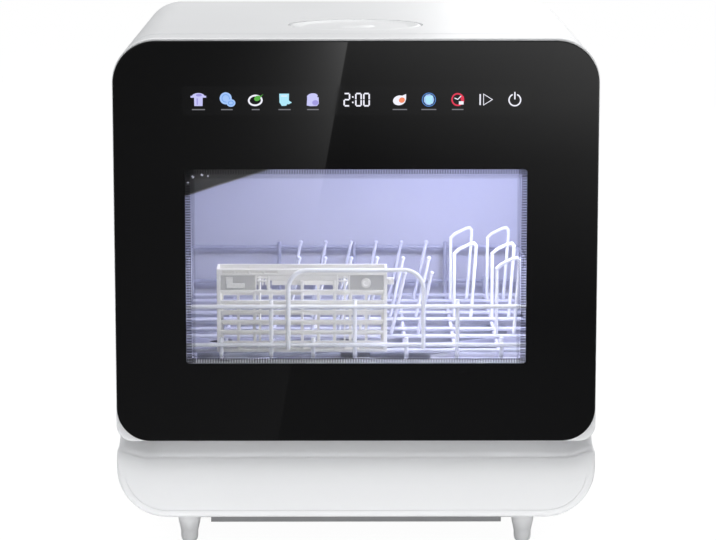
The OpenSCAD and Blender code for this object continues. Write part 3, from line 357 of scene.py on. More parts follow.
def finish(name, colour, rough, grain=0.8, depth=0.01, patch=140, tone=0.03, metal=0.0, coat=0.0, shine=0.5,
           glow=None):
    """A finish: slow patches vary its colour and gloss, and the grain gives its relief, in mm."""
    made = bpy.data.materials.new(name)
    made.use_nodes = True
    tree = made.node_tree
    shader = tree.nodes["Principled BSDF"]
    mask = placed(tree, patch_group, Size=patch, Contrast=1.2).outputs[0]
    dark = [c * (1 - tone) for c in colour]
    blend = node(tree, "ShaderNodeMix", data_type="RGBA", i0=mask, i6=(*dark, 1), i7=(*colour, 1))
    tree.links.new(blend.outputs[2], shader.inputs["Base Color"])
    gloss = node(tree, "ShaderNodeMapRange", Value=mask, **{"To Min": rough * 1.08, "To Max": rough * 0.92})
    tree.links.new(gloss.outputs[0], shader.inputs["Roughness"])
    relief = node(tree, "ShaderNodeBump", Height=placed(tree, grain_group, Size=grain).outputs[0],
                  Strength=0.6, Distance=depth / 1000)
    tree.links.new(relief.outputs[0], shader.inputs["Normal"])
    shader.inputs["Metallic"].default_value = metal
    shader.inputs["Specular IOR Level"].default_value = shine
    shader.inputs["Coat Weight"].default_value = coat
    if glow:
        shader.inputs["Emission Color"].default_value = (*glow[0], 1)
        shader.inputs["Emission Strength"].default_value = glow[1]
    return made


def dress(thing, material):
    """Gives every material slot of a piece one material."""
    if not thing.data.materials:
        thing.data.materials.append(material)
    for i in range(len(thing.data.materials)):
        thing.data.materials[i] = material


def case_shape(inset):
    """The casing's outline seen from the front."""
    return outline(half_w, underside, total_h, edge_low, edge_top, inset)


white_gloss = finish("white casing plastic", (0.80, 0.803, 0.81), 0.34, grain=1.4, depth=0.008, tone=0.012)
wrap_end = total_d - casing_wall
wrap = skin("casing_wrap", rings([(casing_front, casing_wall), (casing_front, 0.9), (casing_front + 0.3, 0.3),
                                  (casing_front + 1, 0), (wrap_end, 0), (wrap_end, casing_wall)],
                                 case_shape), loop_rows=True)
filler_d, filler_r = 147, 61.3
carved(wrap, drill((0, filler_d, 0), filler_r, total_h - 10, total_h + 10))
vent_x = np.arange(-100, 101, 20)
vent_d, vent_size = 290, [6, 60, 8]
carved(wrap, boxes("vents", np.column_stack([vent_x, 0 * vent_x + vent_d, 0 * vent_x + underside]),
                   np.tile(vent_size, (len(vent_x), 1))))
dress(wrap, white_gloss)
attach(wrap, "cabinet")
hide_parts("cabinet_shell")
dress(nodes["base_pan"], finish("grey base plastic", (0.36, 0.36, 0.365), 0.62, grain=0.5, depth=0.03))

# Rear
# A pressed steel panel painted grey, sunk inside a rolled rim, with vents and a pocket for the two ports.
# Eight screws hold it, and the plate where a label would be is bare.
plate_d = total_d - 1
port_z, inlet_x, drain_x, gland_x = 80, -130, -91, 120
inlet_r, drain_r, gland_r = 15.9, 10.7, 8.15
pocket_x, pocket_z, pocket_w, pocket_h, pocket_wall = -109.6, 79, 77.2, 48.4, 2.5
grille_rows, grille_low, grille_step, grille_slot = 8, 232, 10, (120, 8, 4)


def joined(name, things):
    """Several pieces made into one."""
    work = bmesh.new()
    for thing in things:
        work.from_mesh(thing.data)
        bpy.data.objects.remove(thing)
    mesh = bpy.data.meshes.new(name)
    work.to_mesh(mesh)
    work.free()
    made = bpy.data.objects.new(name, mesh)
    bpy.context.scene.collection.objects.link(made)
    return shaded(made)


plate = skin("rear_plate", rings([
    (total_d - 2.4, 0.25), (total_d - 0.9, 0.25), (total_d - 0.3, 0.5), (total_d, 1.2), (total_d, 7.5),
    (total_d - 0.25, 8.3), (plate_d, 9)], case_shape), cap=True)
grille = [(0, plate_d, grille_low + grille_step * k) for k in range(grille_rows)]
carved(plate, boxes("openings", [(pocket_x, plate_d, pocket_z)] + grille,
                    [(pocket_w, 8, pocket_h)] + [grille_slot] * grille_rows, cut=1.2))
carved(plate, drill((gland_x, 0, port_z), gland_r, plate_d - 4, plate_d + 4, "y"))
pocket = boxes("port_pocket", [(pocket_x, plate_d - 9.8, pocket_z)],
               [(pocket_w + 2 * pocket_wall, 19.4, pocket_h + 2 * pocket_wall)], cut=1)
carved(pocket, boxes("hollow", [(pocket_x, plate_d - 7, pocket_z)], [(pocket_w, 20, pocket_h)], cut=2))
for x, r in ((inlet_x, inlet_r), (drain_x, drain_r)):
    carved(pocket, drill((x, 0, port_z), r, plate_d - 24, plate_d - 14, "y"))
rib_d, rib_w = plate_d + 0.3, 9
ribs = boxes("ribs", [(-130, rib_d, 290), (130, rib_d, 290), (0, rib_d, 350), (0, rib_d, 190)],
             [(rib_w, 1, 200), (rib_w, 1, 200), (210, 1, rib_w), (210, 1, rib_w)], cut=0.45)
rear = joined("rear_cover", [plate, pocket, ribs])
dress(rear, finish("grey rear panel paint", (0.55, 0.56, 0.57), 0.55, grain=0.6, depth=0.03))
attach(rear, "cabinet")
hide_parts("rear_panel")


def screw_head(x, depth, z, r):
    """A round screw head with a cross sunk in it, 1 mm out of a face at that depth."""
    head = turned("head", [(0, depth - 0.1), (r, depth - 0.1), (r, depth + 0.4), (0.86 * r, depth + 0.8),
                           (0.5 * r, depth + 1), (0, depth + 1)], (x, 0, z), axis="y", steps=28)
    a, b = 0.1 * r, 0.52 * r
    arm = np.array([(a, a), (a, b), (-a, b), (-a, a), (-b, a), (-b, -a),
                    (-a, -a), (-a, -b), (a, -b), (a, -a), (b, -a), (b, a)])
    cross = [np.column_stack([x + arm[:, 0], np.full(len(arm), d), z + arm[:, 1]])
             for d in (depth + 0.3, depth + 2)]
    return carved(head, skin("cross", np.array(cross), cap=True))


screw_steel = finish("zinc screw steel", (0.55, 0.55, 0.56), 0.3, grain=0.5, metal=1.0)
rear_screw_places = ((188, 130), (188, 350), (110, 436), (60, 42))
heads = joined("rear_screws", [screw_head(side * x, plate_d, z, 4.4)
                               for side in (-1, 1) for x, z in rear_screw_places])
dress(heads, screw_steel)
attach(heads, "cabinet")
label = boxes("bare_plate", [(75, plate_d + 0.15, 135)], [(84, 0.5, 46)], cut=0.1)
dress(label, finish("bare foil plate", (0.62, 0.62, 0.63), 0.38, metal=0.8))
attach(label, "cabinet")

# Lower front
# A white plastic panel under the door, rounded at its rim, with a soft lip and a hollow that the door's
# foot turns in. The hollow runs out at both ends, and its wall goes on behind the door up to the tub.
hinge_d, hinge_z, hinge_x = 28, 116, 186
lip_z, lip_rise, lip_ease = 80, 6, 26
lip_deep, lip_high = 9, 24
hollow_end = casing_front + 0.6
room_top = 125
panel_top = 112
roll_r = 5
trough_r, trough_wall, trough_top = 36, 2.4, 122.9


def lip(x):
    """Height of the hollow's floor: lip_z in the middle and lip_rise more at the ends. It is eased by
    t * t * (3 - 2 * t), where t goes from 0 at an end to 1 at lip_ease from it."""
    t = np.clip((half_w - np.abs(x)) / lip_ease, 0, 1)
    return lip_z + lip_rise * (1 - t * t * (3 - 2 * t))


def hollow_section(x):
    """Depth and height round the room over the hollow's floor: an elliptic lip, then an arc about the
    hinge, whose radius reaches down to the lip's height."""
    top = lip(x)
    r = hinge_z - top
    edge = [(lip_deep + lip_deep * math.cos(a), top - lip_high + lip_high * math.sin(a))
            for a in np.radians(np.linspace(172, 90, 16))]
    arc = [(hinge_d + r * math.sin(a), hinge_z - r * math.cos(a))
           for a in np.linspace(0, math.asin((hollow_end - hinge_d) / r), 12)]
    over = [(hollow_end, room_top), (-0.6, room_top)]
    return [(-0.6, top - lip_high - 10)] + edge + [(16, top)] + arc + over


def panel_shape(inset):
    """The casing's outline seen from the front, up to above the hollow."""
    return outline(half_w, underside, panel_top, edge_low, 4, inset)


roll = [(roll_r - roll_r * math.sin(a), roll_r - roll_r * math.cos(a))
        for a in np.radians(np.linspace(0, 90, 8))]
groove = [(0, 6.6), (0.5, 6.75), (0.5, 7.25), (0, 7.4)]
panel = skin("lower_panel", rings([(casing_front, 0)] + roll + groove, panel_shape), cap=True)
# Stations across the hollow, close together where its floor rises
stations = np.concatenate([np.linspace(-211, -182, 16), np.linspace(-170, 170, 12),
                           np.linspace(182, 211, 16)])
room = np.array([[(x, d, z) for d, z in hollow_section(x)] for x in stations])
carved(panel, skin("room", room, cap=True))
dress(panel, white_gloss)
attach(panel, "cabinet")
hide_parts("lower_front_panel")


def hinge_arc(r):
    """Depth and height along an arc about the hinge, from the casing's front, and straight up to the tub."""
    turn = np.linspace(math.asin((casing_front - hinge_d) / trough_r), math.pi / 2, 14)
    arc = [(hinge_d + r * math.sin(a), hinge_z - r * math.cos(a)) for a in turn]
    return arc + [(hinge_d + r, trough_top)]


trough_section = hinge_arc(trough_r) + hinge_arc(trough_r + trough_wall)[::-1]
sheet = np.array([[(x, d, z) for d, z in trough_section] for x in (-207, -120, 0, 120, 207)])
trough = skin("door_trough", sheet, cap=True)
# Two slots let the hinge brackets through
carved(trough, boxes("slots", [(-hinge_x, 60, hinge_z), (hinge_x, 60, hinge_z)], [(8, 40, 22)] * 2))
dress(trough, white_gloss)
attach(trough, "cabinet")

# Door frame
# A white moulding round the glass with a soft outer edge, open inside, on two pairs of hinge ears.
# Its foot is cut short behind, so that it can turn down into the hollow.
door_low, door_r_low = 96.2, 14
glass_t, frame_wall, frame_back = 4, 3, 46
foot_r, foot_low, foot_back = 18, 98, 27
symbol_slot_z, symbol_slot_w, symbol_slot_h = 397, 316, 18
window_half, window_low, window_high = 148, 166, 337
hole_out, hole_r = 8, 7
side_level = np.array([111, 112.5, 114, 115.2, 116, 118, 200, 300])


def with_sides(points, level):
    """An outline with more points up its two straight sides."""
    n = corner_points
    right = np.column_stack([np.full(len(level), points[n - 1, 0]), level])
    return np.vstack([points[:n], right, points[n:3 * n], right[::-1] * [-1, 1], points[3 * n:]])


def rim_shape(inset):
    """The outline of the door's frame, with points up its sides where its foot begins."""
    return with_sides(outline(half_w, door_low, total_h, door_r_low, edge_top, inset), side_level)


def at_depth(flat, depth):
    """A row of points: an outline at one depth, or at a depth for each of its points."""
    return np.column_stack([flat[:, 0], 0 * flat[:, 0] + depth, flat[:, 1]])


# The frame's back: flat, then an arc of foot_r about the hinge, and cut short under foot_low
height = rim_shape(0)[:, 1]
under = np.clip(hinge_z - height, 0, foot_r)
behind = np.where(height < foot_low, foot_back,
                  np.where(height < hinge_z, hinge_d + np.sqrt(foot_r ** 2 - under ** 2), frame_back))
hole_level = np.interp(side_level, [96, total_h], [window_low, window_high])
frame_hole = with_sides(outline(window_half + hole_out, window_low - hole_out, window_high + hole_out,
                                hole_r, hole_r), hole_level)
front_edge = [(0, 3.2), (0, 1.5), (0.1, 0.95), (0.45, 0.45), (0.95, 0.1), (1.5, 0)]
back_edge = [(-0.7, 0), (-0.2, 0.2), (0, 0.7), (0, frame_wall)]
rows = [at_depth(frame_hole, glass_t)]
rows += [at_depth(rim_shape(inset), glass_t + depth) for depth, inset in front_edge]
rows += [at_depth(rim_shape(inset), behind + depth) for depth, inset in back_edge]
rows += [at_depth(rim_shape(frame_wall), glass_t + frame_wall), at_depth(frame_hole, glass_t + frame_wall)]
door_rim = skin("door_rim", np.array(rows), loop_rows=True)
# One slot for the light of the symbols, and one for the bracket at each hinge
carved(door_rim, boxes("slots", [(0, 6, symbol_slot_z), (-hinge_x, 43, 104), (hinge_x, 43, 104)],
                       [(symbol_slot_w, 12, symbol_slot_h), (7, 50, 44), (7, 50, 44)]))
dress(door_rim, white_gloss)
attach(door_rim, "door")
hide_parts("door_frame")
ear = [(4.06, -3.5), (16.4, -3.5), (16.9, -3), (16.9, 3), (16.4, 3.5), (4.06, 3.5)]
ear_step = 8.5
ears = joined("hinge_ears", [
    turned("ear", ear, (side * hinge_x + step * ear_step, hinge_d, hinge_z), axis="x", steps=40, loop=True)
    for side in (-1, 1) for step in (-1, 1)])
dress(ears, white_gloss)
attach(ears, "door")

# Door liner
# The door's inner side is a satin moulding that ten zinc screws hold, with a soft bead round its window.
# It carries the detergent cup with its sliding cover, the hook, and the board behind the touch symbols.
liner_d, bead_out = 50, 9
inner_plastic = finish("grey inner plastic", (0.42, 0.43, 0.45), 0.5, grain=0.8, depth=0.02)
dark_plastic = finish("black pump plastic", (0.03, 0.03, 0.033), 0.5, grain=0.8, depth=0.03)
foot_white = finish("white foot rubber", (0.90, 0.902, 0.905), 0.45, grain=0.5, depth=0.02)
board = finish("green circuit board", (0.02, 0.12, 0.05), 0.4, grain=2, depth=0.02, tone=0.3, patch=6)
dress(nodes["door_inner_panel"], finish("satin door liner", (0.60, 0.605, 0.63), 0.42, grain=3, depth=0.02))
dress(nodes["window_frame"], inner_plastic)
dress(nodes["detergent_dispenser"], inner_plastic)
dress(nodes["dispenser_slide"], foot_white)
dress(nodes["door_hook"], dark_plastic)
dress(nodes["control_board"], board)
dress(nodes["light_guide"], finish("light guide", (0.7, 0.7, 0.75), 0.3))


def bead_shape(inset):
    """The outline of the bead, which lies bead_out outside the window."""
    return outline(window_half + bead_out, window_low - bead_out, window_high + bead_out, bead_out, bead_out,
                   inset)


bead = skin("liner_bead", rings([(liner_d - 0.2, 0), (liner_d + 0.35, 0.1), (liner_d + 0.7, 0.6),
                                 (liner_d + 0.7, 3.4), (liner_d + 0.35, 3.9), (liner_d - 0.2, 4)],
                                bead_shape), loop_rows=True)
dress(bead, finish("satin door liner bead", (0.60, 0.605, 0.63), 0.36, grain=3, depth=0.02))
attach(bead, "door")
liner_screw_places = ((165, 180), (165, 251), (165, 322), (84, 147), (120, 357))
liner_screws = joined("liner_screws", [screw_head(side * x, liner_d, z, 3.2)
                                       for side in (-1, 1) for x, z in liner_screw_places])
dress(liner_screws, screw_steel)
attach(liner_screws, "door")

# Feet
# Four white feet of satin rubber, flared where they meet the underside.
# They are pressed into the base pan, and their solids carry the whole shape.
dress(nodes["feet"], foot_white)

# Filler
# A round cap of white plastic in the top, over a funnel into the tank, with a soft ring under it.
# The cap is lifted off by its raised rim to pour water in.
seal_rubber = finish("grey seal rubber", (0.10, 0.10, 0.105), 0.6, grain=0.6, depth=0.02)
for name in ("filler_lid", "filler_funnel"):
    dress(nodes[name], white_gloss)
dress(nodes["lid_seal"], seal_rubber)

# Tub
# The washing space: a smooth satin moulding with a soft gasket round its mouth. Two studio lamps light it.
# Grey plastic carries the water to two dark spray arms, and a steel plate and a cup filter it.
dress(nodes["tub"], finish("satin tub liner", (0.50, 0.505, 0.575), 0.42, grain=3, depth=0.02, tone=0.06))
dress(nodes["door_gasket"], seal_rubber)
for name in ("sump", "filter_cup", "spray_hub", "lower_arm_nut", "upper_feed_pipe", "upper_arm_nut"):
    dress(nodes[name], inner_plastic)
arm_plastic = finish("dark spray arm plastic", (0.22, 0.23, 0.26), 0.42, grain=0.9, depth=0.02)
for name in ("lower_spray_arm", "upper_spray_arm"):
    dress(nodes[name], arm_plastic)
steel = finish("filter steel", (0.60, 0.61, 0.62), 0.32, grain=0.4, depth=0.02, metal=1.0)
dress(nodes["fine_filter"], steel)

# Works
# Pumps, heater, fan and power board stand on the base pan under the tub, with hoses between them.
# The tank over the tub is blown from milky plastic, and the door turns on steel brackets.
for name in ("circulation_pump", "drain_pump", "inlet_pump", "drying_fan", "drain_spigot", "mains_gland",
             "door_lock"):
    dress(nodes[name], dark_plastic)
for name in ("heater", "hinge_brackets"):
    dress(nodes[name], steel)
hose = finish("grey hose rubber", (0.22, 0.23, 0.24), 0.55, grain=0.7, depth=0.03)
for name in ("pressure_hoses", "drain_hose", "tank_hoses"):
    dress(nodes[name], hose)
dress(nodes["power_board"], board)
dress(nodes["inlet_valve"], finish("blue valve plastic", (0.03, 0.10, 0.36), 0.4))
dress(nodes["water_tank"], finish("milky tank plastic", (0.66, 0.72, 0.78), 0.35, grain=3))

# Rack
# Round wire welded to a basket on four rollers, and dipped in a smooth white coat.
# The wires and tines deep in the tub are greyer copies of the white coat, a painted shade for the tub's weaker
# light there.
wire_coat = finish("white wire coating", (0.82, 0.83, 0.86), 0.22, grain=2.5, depth=0.02, coat=0.3)
for name in ("rack_front", "rack_handle", "cup_loops"):
    dress(nodes[name], wire_coat)
# Painted shade: the side and floor wires take a greyer copy of the white coat.
shaded_wire_coat = finish("painted shade wire coating", (0.60, 0.61, 0.68), 0.24, grain=2.5, depth=0.02, coat=0.3)
for name in ("rack_left", "rack_right", "rack_floor"):
    dress(nodes[name], shaded_wire_coat)
# Painted shade: the rear wires take a darker copy still.
dress(nodes["rack_rear"], finish("painted deep shade rear wire coating", (0.38, 0.39, 0.47), 0.3, grain=2.5, depth=0.02,
                                 coat=0.2))
dress(nodes["rack_rollers"], inner_plastic)
# Painted shade: the tines take a greyer copy of the white coat, and the rear row takes the side wires' copy.
shaded_tine_coat = finish("painted shade tine coating", (0.70, 0.71, 0.78), 0.22, grain=2.5, depth=0.02, coat=0.3)
tine_edge = -65


def shortened(name):
    """A copy of a row of tines without those wholly left of tine_edge, behind the basket. Each corner takes
    the greatest x of its neighbours until nothing changes, and so holds the greatest x of its tine."""
    work = bmesh.new()
    work.from_mesh(nodes["tine_row_" + name].data)
    bmesh.ops.remove_doubles(work, verts=work.verts, dist=2e-6)
    mesh = bpy.data.meshes.new("tines_" + name)
    work.to_mesh(mesh)
    corners, ends = np.empty(3 * len(mesh.vertices), np.float32), np.empty(2 * len(mesh.edges), np.int32)
    mesh.vertices.foreach_get("co", corners)
    mesh.edges.foreach_get("vertices", ends)
    a, b = ends.reshape(-1, 2).T
    right, before = corners[::3] * 1000, None
    while before is None or (right != before).any():
        before = right.copy()
        np.maximum.at(right, a, before[b])
        np.maximum.at(right, b, before[a])
    work.verts.ensure_lookup_table()
    bmesh.ops.delete(work, geom=[work.verts[i] for i in np.flatnonzero(right < tine_edge)], context="VERTS")
    work.to_mesh(mesh)
    work.free()
    row = bpy.data.objects.new("tines_" + name, mesh)
    bpy.context.scene.collection.objects.link(row)
    return shaded(row)


for name in ("front", "middle", "rear"):
    row = shortened(name)
    dress(row, shaded_wire_coat if name == "rear" else shaded_tine_coat)
    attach(row, "rack")
    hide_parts("tine_row_" + name)

# Cutlery basket
# A tray of cream plastic with two lattice walls, hung inside the front of the rack.
# The front wall has a rolled rim, a plate at each end, a small clip and a round knob.
cream = finish("cream basket plastic", (0.84, 0.83, 0.79), 0.42, grain=0.8, depth=0.015)
for name in ("cutlery_basket", "basket_rear_wall"):
    dress(nodes[name], cream)
basket_left, basket_right, basket_low, basket_high = -124, 28, 163.8, 239
wall_back = 71
plate_low, plate_high = 218.4, 234


def spans(rows):
    """Centres and sizes of blocks from their (left, right, near, far, low, high)."""
    r = np.asarray(rows, float)
    return (r[:, ::2] + r[:, 1::2]) / 2, r[:, 1::2] - r[:, ::2]


# Ends, rim, band under the rim and foot of the wall
bars = [(basket_left, -120.6, 68.4, wall_back, basket_low, 238.9),
        (24.6, basket_right, 68.4, wall_back, basket_low, 238.9),
        (basket_left, basket_right, 67.8, wall_back, 237.2, basket_high),
        (basket_left, basket_right, 67.8, wall_back, 233.4, 235.2),
        (-120, 24, 69.8, wall_back, 234, 238),
        (-121, 25, 68.4, wall_back, basket_low, 166.6)]
# Band between the plates with two short bars at each side, the L on the left plate, and the clip
bars += [(-77.4, -17.4, 69.6, wall_back, 228.4, 234)]
bars += [(x, x + 9, near, wall_back, low, high)
         for near, low, high in ((69.2, 230.2, 231.6), (68.8, 227.2, 228.8)) for x in (-88, -16)]
bars += [(-116, -109.6, 68.5, 70, 225.4, 231.6), (-115.4, -99, 68.5, 70, 221.8, 226),
         (27, 34, 68.2, 71.4, 225, 231), (29, 32, 67.6, 69, 226.5, 229.5)]
# Blocks between the two rails of the rim
bars += [(x0, x1, 67.8, wall_back, 234.6, 237.8) for x0, x1 in
         ((basket_left, -119.3), (-109.2, -107.4), (-96.6, -94.2), (-83.5, -81), (-70.2, basket_right))]
# Level bars, the uprights between them, and the uprights beside the plates
bars += [(-121, 25, 68.6, wall_back, z - 1.45, z + 1.45) for z in (218.6, 209.2, 200.4, 191.4, 182, 172.4)]
uprights = [(223.4, (-78.2, -59.3, -48, -18.7)), (213.9, (-90.2, -75.1, -59.3, -48, -33.2, -18.7, -4.5)),
            (204.8, (-104, -75, -48, -18.7, 8)), (195.9, (-90, -75, -33, -18.7, -1)),
            (186.7, (-104, -75, -48, -18.7, 4)), (177.2, (-90, -75, -33, -18.7, -1)),
            (168.8, (-104, -75, -48, -18.7, 4))]
bars += [(x - 1.2, x + 1.2, 69, wall_back, z - 5, z + 5) for z, row in uprights for x in row]
bars += [(x, x + 1.6, 68.8, wall_back, 218.6, plate_high) for x in (-90, -78.8, -17.6, -6.6)]
lattice = boxes("basket_lattice", *spans(bars), cut=0.35)
knob_profile = [(0, wall_back), (4.4, wall_back), (4.4, 67.9), (3.9, 67.5), (2.2, 67.5), (1.8, 68), (0, 68)]
knob = turned("knob", knob_profile, (9, 0, 226.3), axis="y", steps=36)
front_wall = joined("basket_front", [lattice, knob])
dress(front_wall, cream)
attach(front_wall, "basket")
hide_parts("basket_front_wall")
# The plates are a darker, greyer cream than the lattice: partly their own tone, partly painted shade for their
# recess.
plates = boxes("basket_plates", *spans([(-121, -89, 69.6, wall_back, plate_low, plate_high),
                                        (-5, 25, 69.6, wall_back, plate_low, plate_high)]), cut=0.35)
dress(plates, finish("matt cream plate with painted shade", (0.56, 0.555, 0.54), 0.55, grain=0.6, depth=0.03))
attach(plates, "basket")

# Door glass
# One flush pane with ground edges: glossy black round its rim, where the print is, and clear in its window.
# The print ends in a comb of short strokes and dots on the back of the window, which hides the glue line.
pane_half, pane_low, pane_high, pane_r_low, pane_r_top = 209.2, 97.2, 448, 29, 36.5
window_r = 3
# The glass begins a hair behind its solid, which leaves room before it for the touch symbols
face = 0.06


def clear_glass(name):
    """Polished clear glass, faintly wavy, that lets the light of lamps through."""
    made = bpy.data.materials.new(name)
    made.use_nodes = True
    tree = made.node_tree
    shader = tree.nodes["Principled BSDF"]
    for label, value in (("Base Color", (1, 1, 1, 1)), ("Roughness", 0.0), ("IOR", 1.5),
                         ("Transmission Weight", 1.0)):
        shader.inputs[label].default_value = value
    wave = node(tree, "ShaderNodeBump", Height=placed(tree, patch_group, Size=90, Contrast=1.0).outputs[0],
                Strength=0.3, Distance=0.00002)
    tree.links.new(wave.outputs[0], shader.inputs["Normal"])
    open_way = node(tree, "ShaderNodeBsdfTransparent", Color=(0.96, 0.97, 0.97, 1))
    to_lamp = tree.nodes.new("ShaderNodeLightPath").outputs["Is Shadow Ray"]
    mixed = node(tree, "ShaderNodeMixShader", i0=to_lamp, i1=shader.outputs[0], i2=open_way.outputs[0])
    tree.links.new(mixed.outputs[0], tree.nodes["Material Output"].inputs["Surface"])
    return made


def pane_shape(inset):
    """The outline of the door's glass."""
    return outline(pane_half, pane_low, pane_high, pane_r_low, pane_r_top, inset)


def window_shape(inset):
    """The outline of the clear window, with as many points as the pane's."""
    return outline(window_half, window_low, window_high, window_r, window_r, inset)


glass = clear_glass("clear door glass")
clear = skin("clear_window", rings([(face, 0), (glass_t, 0)], window_shape), cap=True)
dress(clear, glass)
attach(clear, "door")
dress(nodes["inner_window"], glass)

black = (0.0035, 0.0035, 0.0038)
border = skin("front_glass", np.vstack([
    rings([(glass_t, 0), (face, 0)], window_shape),
    rings([(face, 1.0), (face + 0.12, 0.5), (0.5, 0.14), (1.0, 0), (glass_t - 0.6, 0), (glass_t, 0.5)],
          pane_shape)]), loop_rows=True)
dress(border, finish("black printed glass", black, 0.01, grain=60, depth=0.0004))
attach(border, "door")
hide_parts("door_glass")

# Each row of the comb is (length, width, distance from the window's edge): strokes, then ever smaller dots
tooth, tooth_pitch = 4.8, 1.42
print_d, print_t = glass_t - 0.065, 0.06
comb_rows = [(tooth, 0.78, 0.0), (0.75, 0.75, tooth + 0.8), (0.62, 0.62, tooth + 2.0),
             (0.45, 0.45, tooth + 3.1)]
spots, shapes = [], []
for step, (length, width, off) in enumerate(comb_rows):
    shift = (step % 2) * 0.5 * tooth_pitch
    along = np.arange(1 - window_half, window_half - 0.9, tooth_pitch) + shift
    for z, sign in ((window_high, -1), (window_low, 1)):
        spots.append(np.column_stack([along, 0 * along + print_d, 0 * along + z + sign * (off + length / 2)]))
        shapes.append(np.tile([width, print_t, length], (len(along), 1)))
    up = np.arange(window_low + 1, window_high - 1, tooth_pitch) + shift
    for x, sign in ((-window_half, 1), (window_half, -1)):
        spots.append(np.column_stack([0 * up + x + sign * (off + length / 2), 0 * up + print_d, up]))
        shapes.append(np.tile([length, print_t, width], (len(up), 1)))
comb = boxes("window_comb", np.vstack(spots), np.vstack(shapes))
dress(comb, finish("black comb print", black, 0.6, grain=1, depth=0.002, shine=0.0))
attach(comb, "door")

# Touch symbols
# A row of lit symbols behind the glass, five on each side of a clock, with a short bar under eight of them.
# They are cut in the print and lit from behind, so they glow evenly.
row_z = 397.4
print_back = 0.13
layer_front, layer_step = 0.049, 0.012


def lit_print(name, colour):
    """A lit opening in the print: an even glow, under the gloss of the glass."""
    return finish(name, (0.02, 0.02, 0.02), 0.03, depth=0.0005, glow=(colour, 1.0))


def near_face(layer):
    """Depth of a symbol's front, just before the glass: each layer lies a step nearer than the one before."""
    return layer_front - layer_step * layer


def prism(shape, layer=1):
    """A flat symbol from the corners of its outline (across, up) and its layer."""
    flat = np.asarray(shape, float)
    return skin("shape", np.array([at_depth(flat, d) for d in (near_face(layer), print_back)]), cap=True)


def stroke(points, width, layer=1, closed=True, deep=None):
    """A line of even width along points, between two depths: each point goes half the width to either side,
    square to the mean of the ways before and after it."""
    p = np.asarray(points, float)
    ahead = np.roll(p, -1, 0) - p
    back_way = p - np.roll(p, 1, 0)
    if not closed:
        ahead[-1], back_way[0] = back_way[-1], ahead[0]
    way = (ahead / np.linalg.norm(ahead, axis=1)[:, None]
           + back_way / np.linalg.norm(back_way, axis=1)[:, None])
    way /= np.linalg.norm(way, axis=1)[:, None]
    aside = np.column_stack([-way[:, 1], way[:, 0]]) * width / 2
    near, far = deep or (near_face(layer), print_back)
    grid = np.array([at_depth(q, d) for q, d in ((p + aside, near), (p + aside, far), (p - aside, far),
                                                 (p - aside, near))])
    if closed:
        return skin("line", grid, loop_rows=True)
    return skin("line", grid.transpose(1, 0, 2), cap=True)


def ellipse(x, z, rx, rz, start=0, end=360, steps=28, turn_by=0):
    """Points rx * cos a across and rz * sin a up from (x, z), for a from start to end, turned as a whole."""
    a = np.radians(np.linspace(start, end, steps, endpoint=abs(end - start) < 360))
    t = math.radians(turn_by)
    u, v = rx * np.cos(a), rz * np.sin(a)
    return np.column_stack([x + u * math.cos(t) - v * math.sin(t), z + u * math.sin(t) + v * math.cos(t)])


digit_w, digit_h, digit_bar, digit_gap = 4.6, 10.6, 1.25, 0.35
two, nought = (0, 1, 6, 4, 3), (0, 1, 2, 3, 4, 5)


def digit(x, lit):
    """A seven-segment figure from the numbers of its lit bars, counted as top, upper right, lower right,
    foot, lower left, upper left and middle."""
    a, b, g = digit_w / 2, digit_h / 2, digit_gap
    bars = [((-a + g, b), (a - g, b)), ((a, b - g), (a, g)), ((a, -g), (a, -b + g)),
            ((-a + g, -b), (a - g, -b)), ((-a, -g), (-a, -b + g)), ((-a, b - g), (-a, g)),
            ((-a + g, 0), (a - g, 0))]
    return [stroke(np.array(bars[k]) + (x, row_z), digit_bar, closed=False) for k in lit]


clock = digit(-7.9, two) + digit(2.1, nought) + digit(9.0, nought)
clock += [prism(ellipse(-2.8, row_z + z, 0.75, 0.75, steps=12)) for z in (-2.3, 2.3)]
bar_z = 388.9
bar_places = ((-135.5, 5.6), (-111.1, 5), (-86.3, 3.4), (-61.5, 5.2), (-37.1, 5), (37.7, 6.2), (62.6, 6.4),
              (87.4, 5))

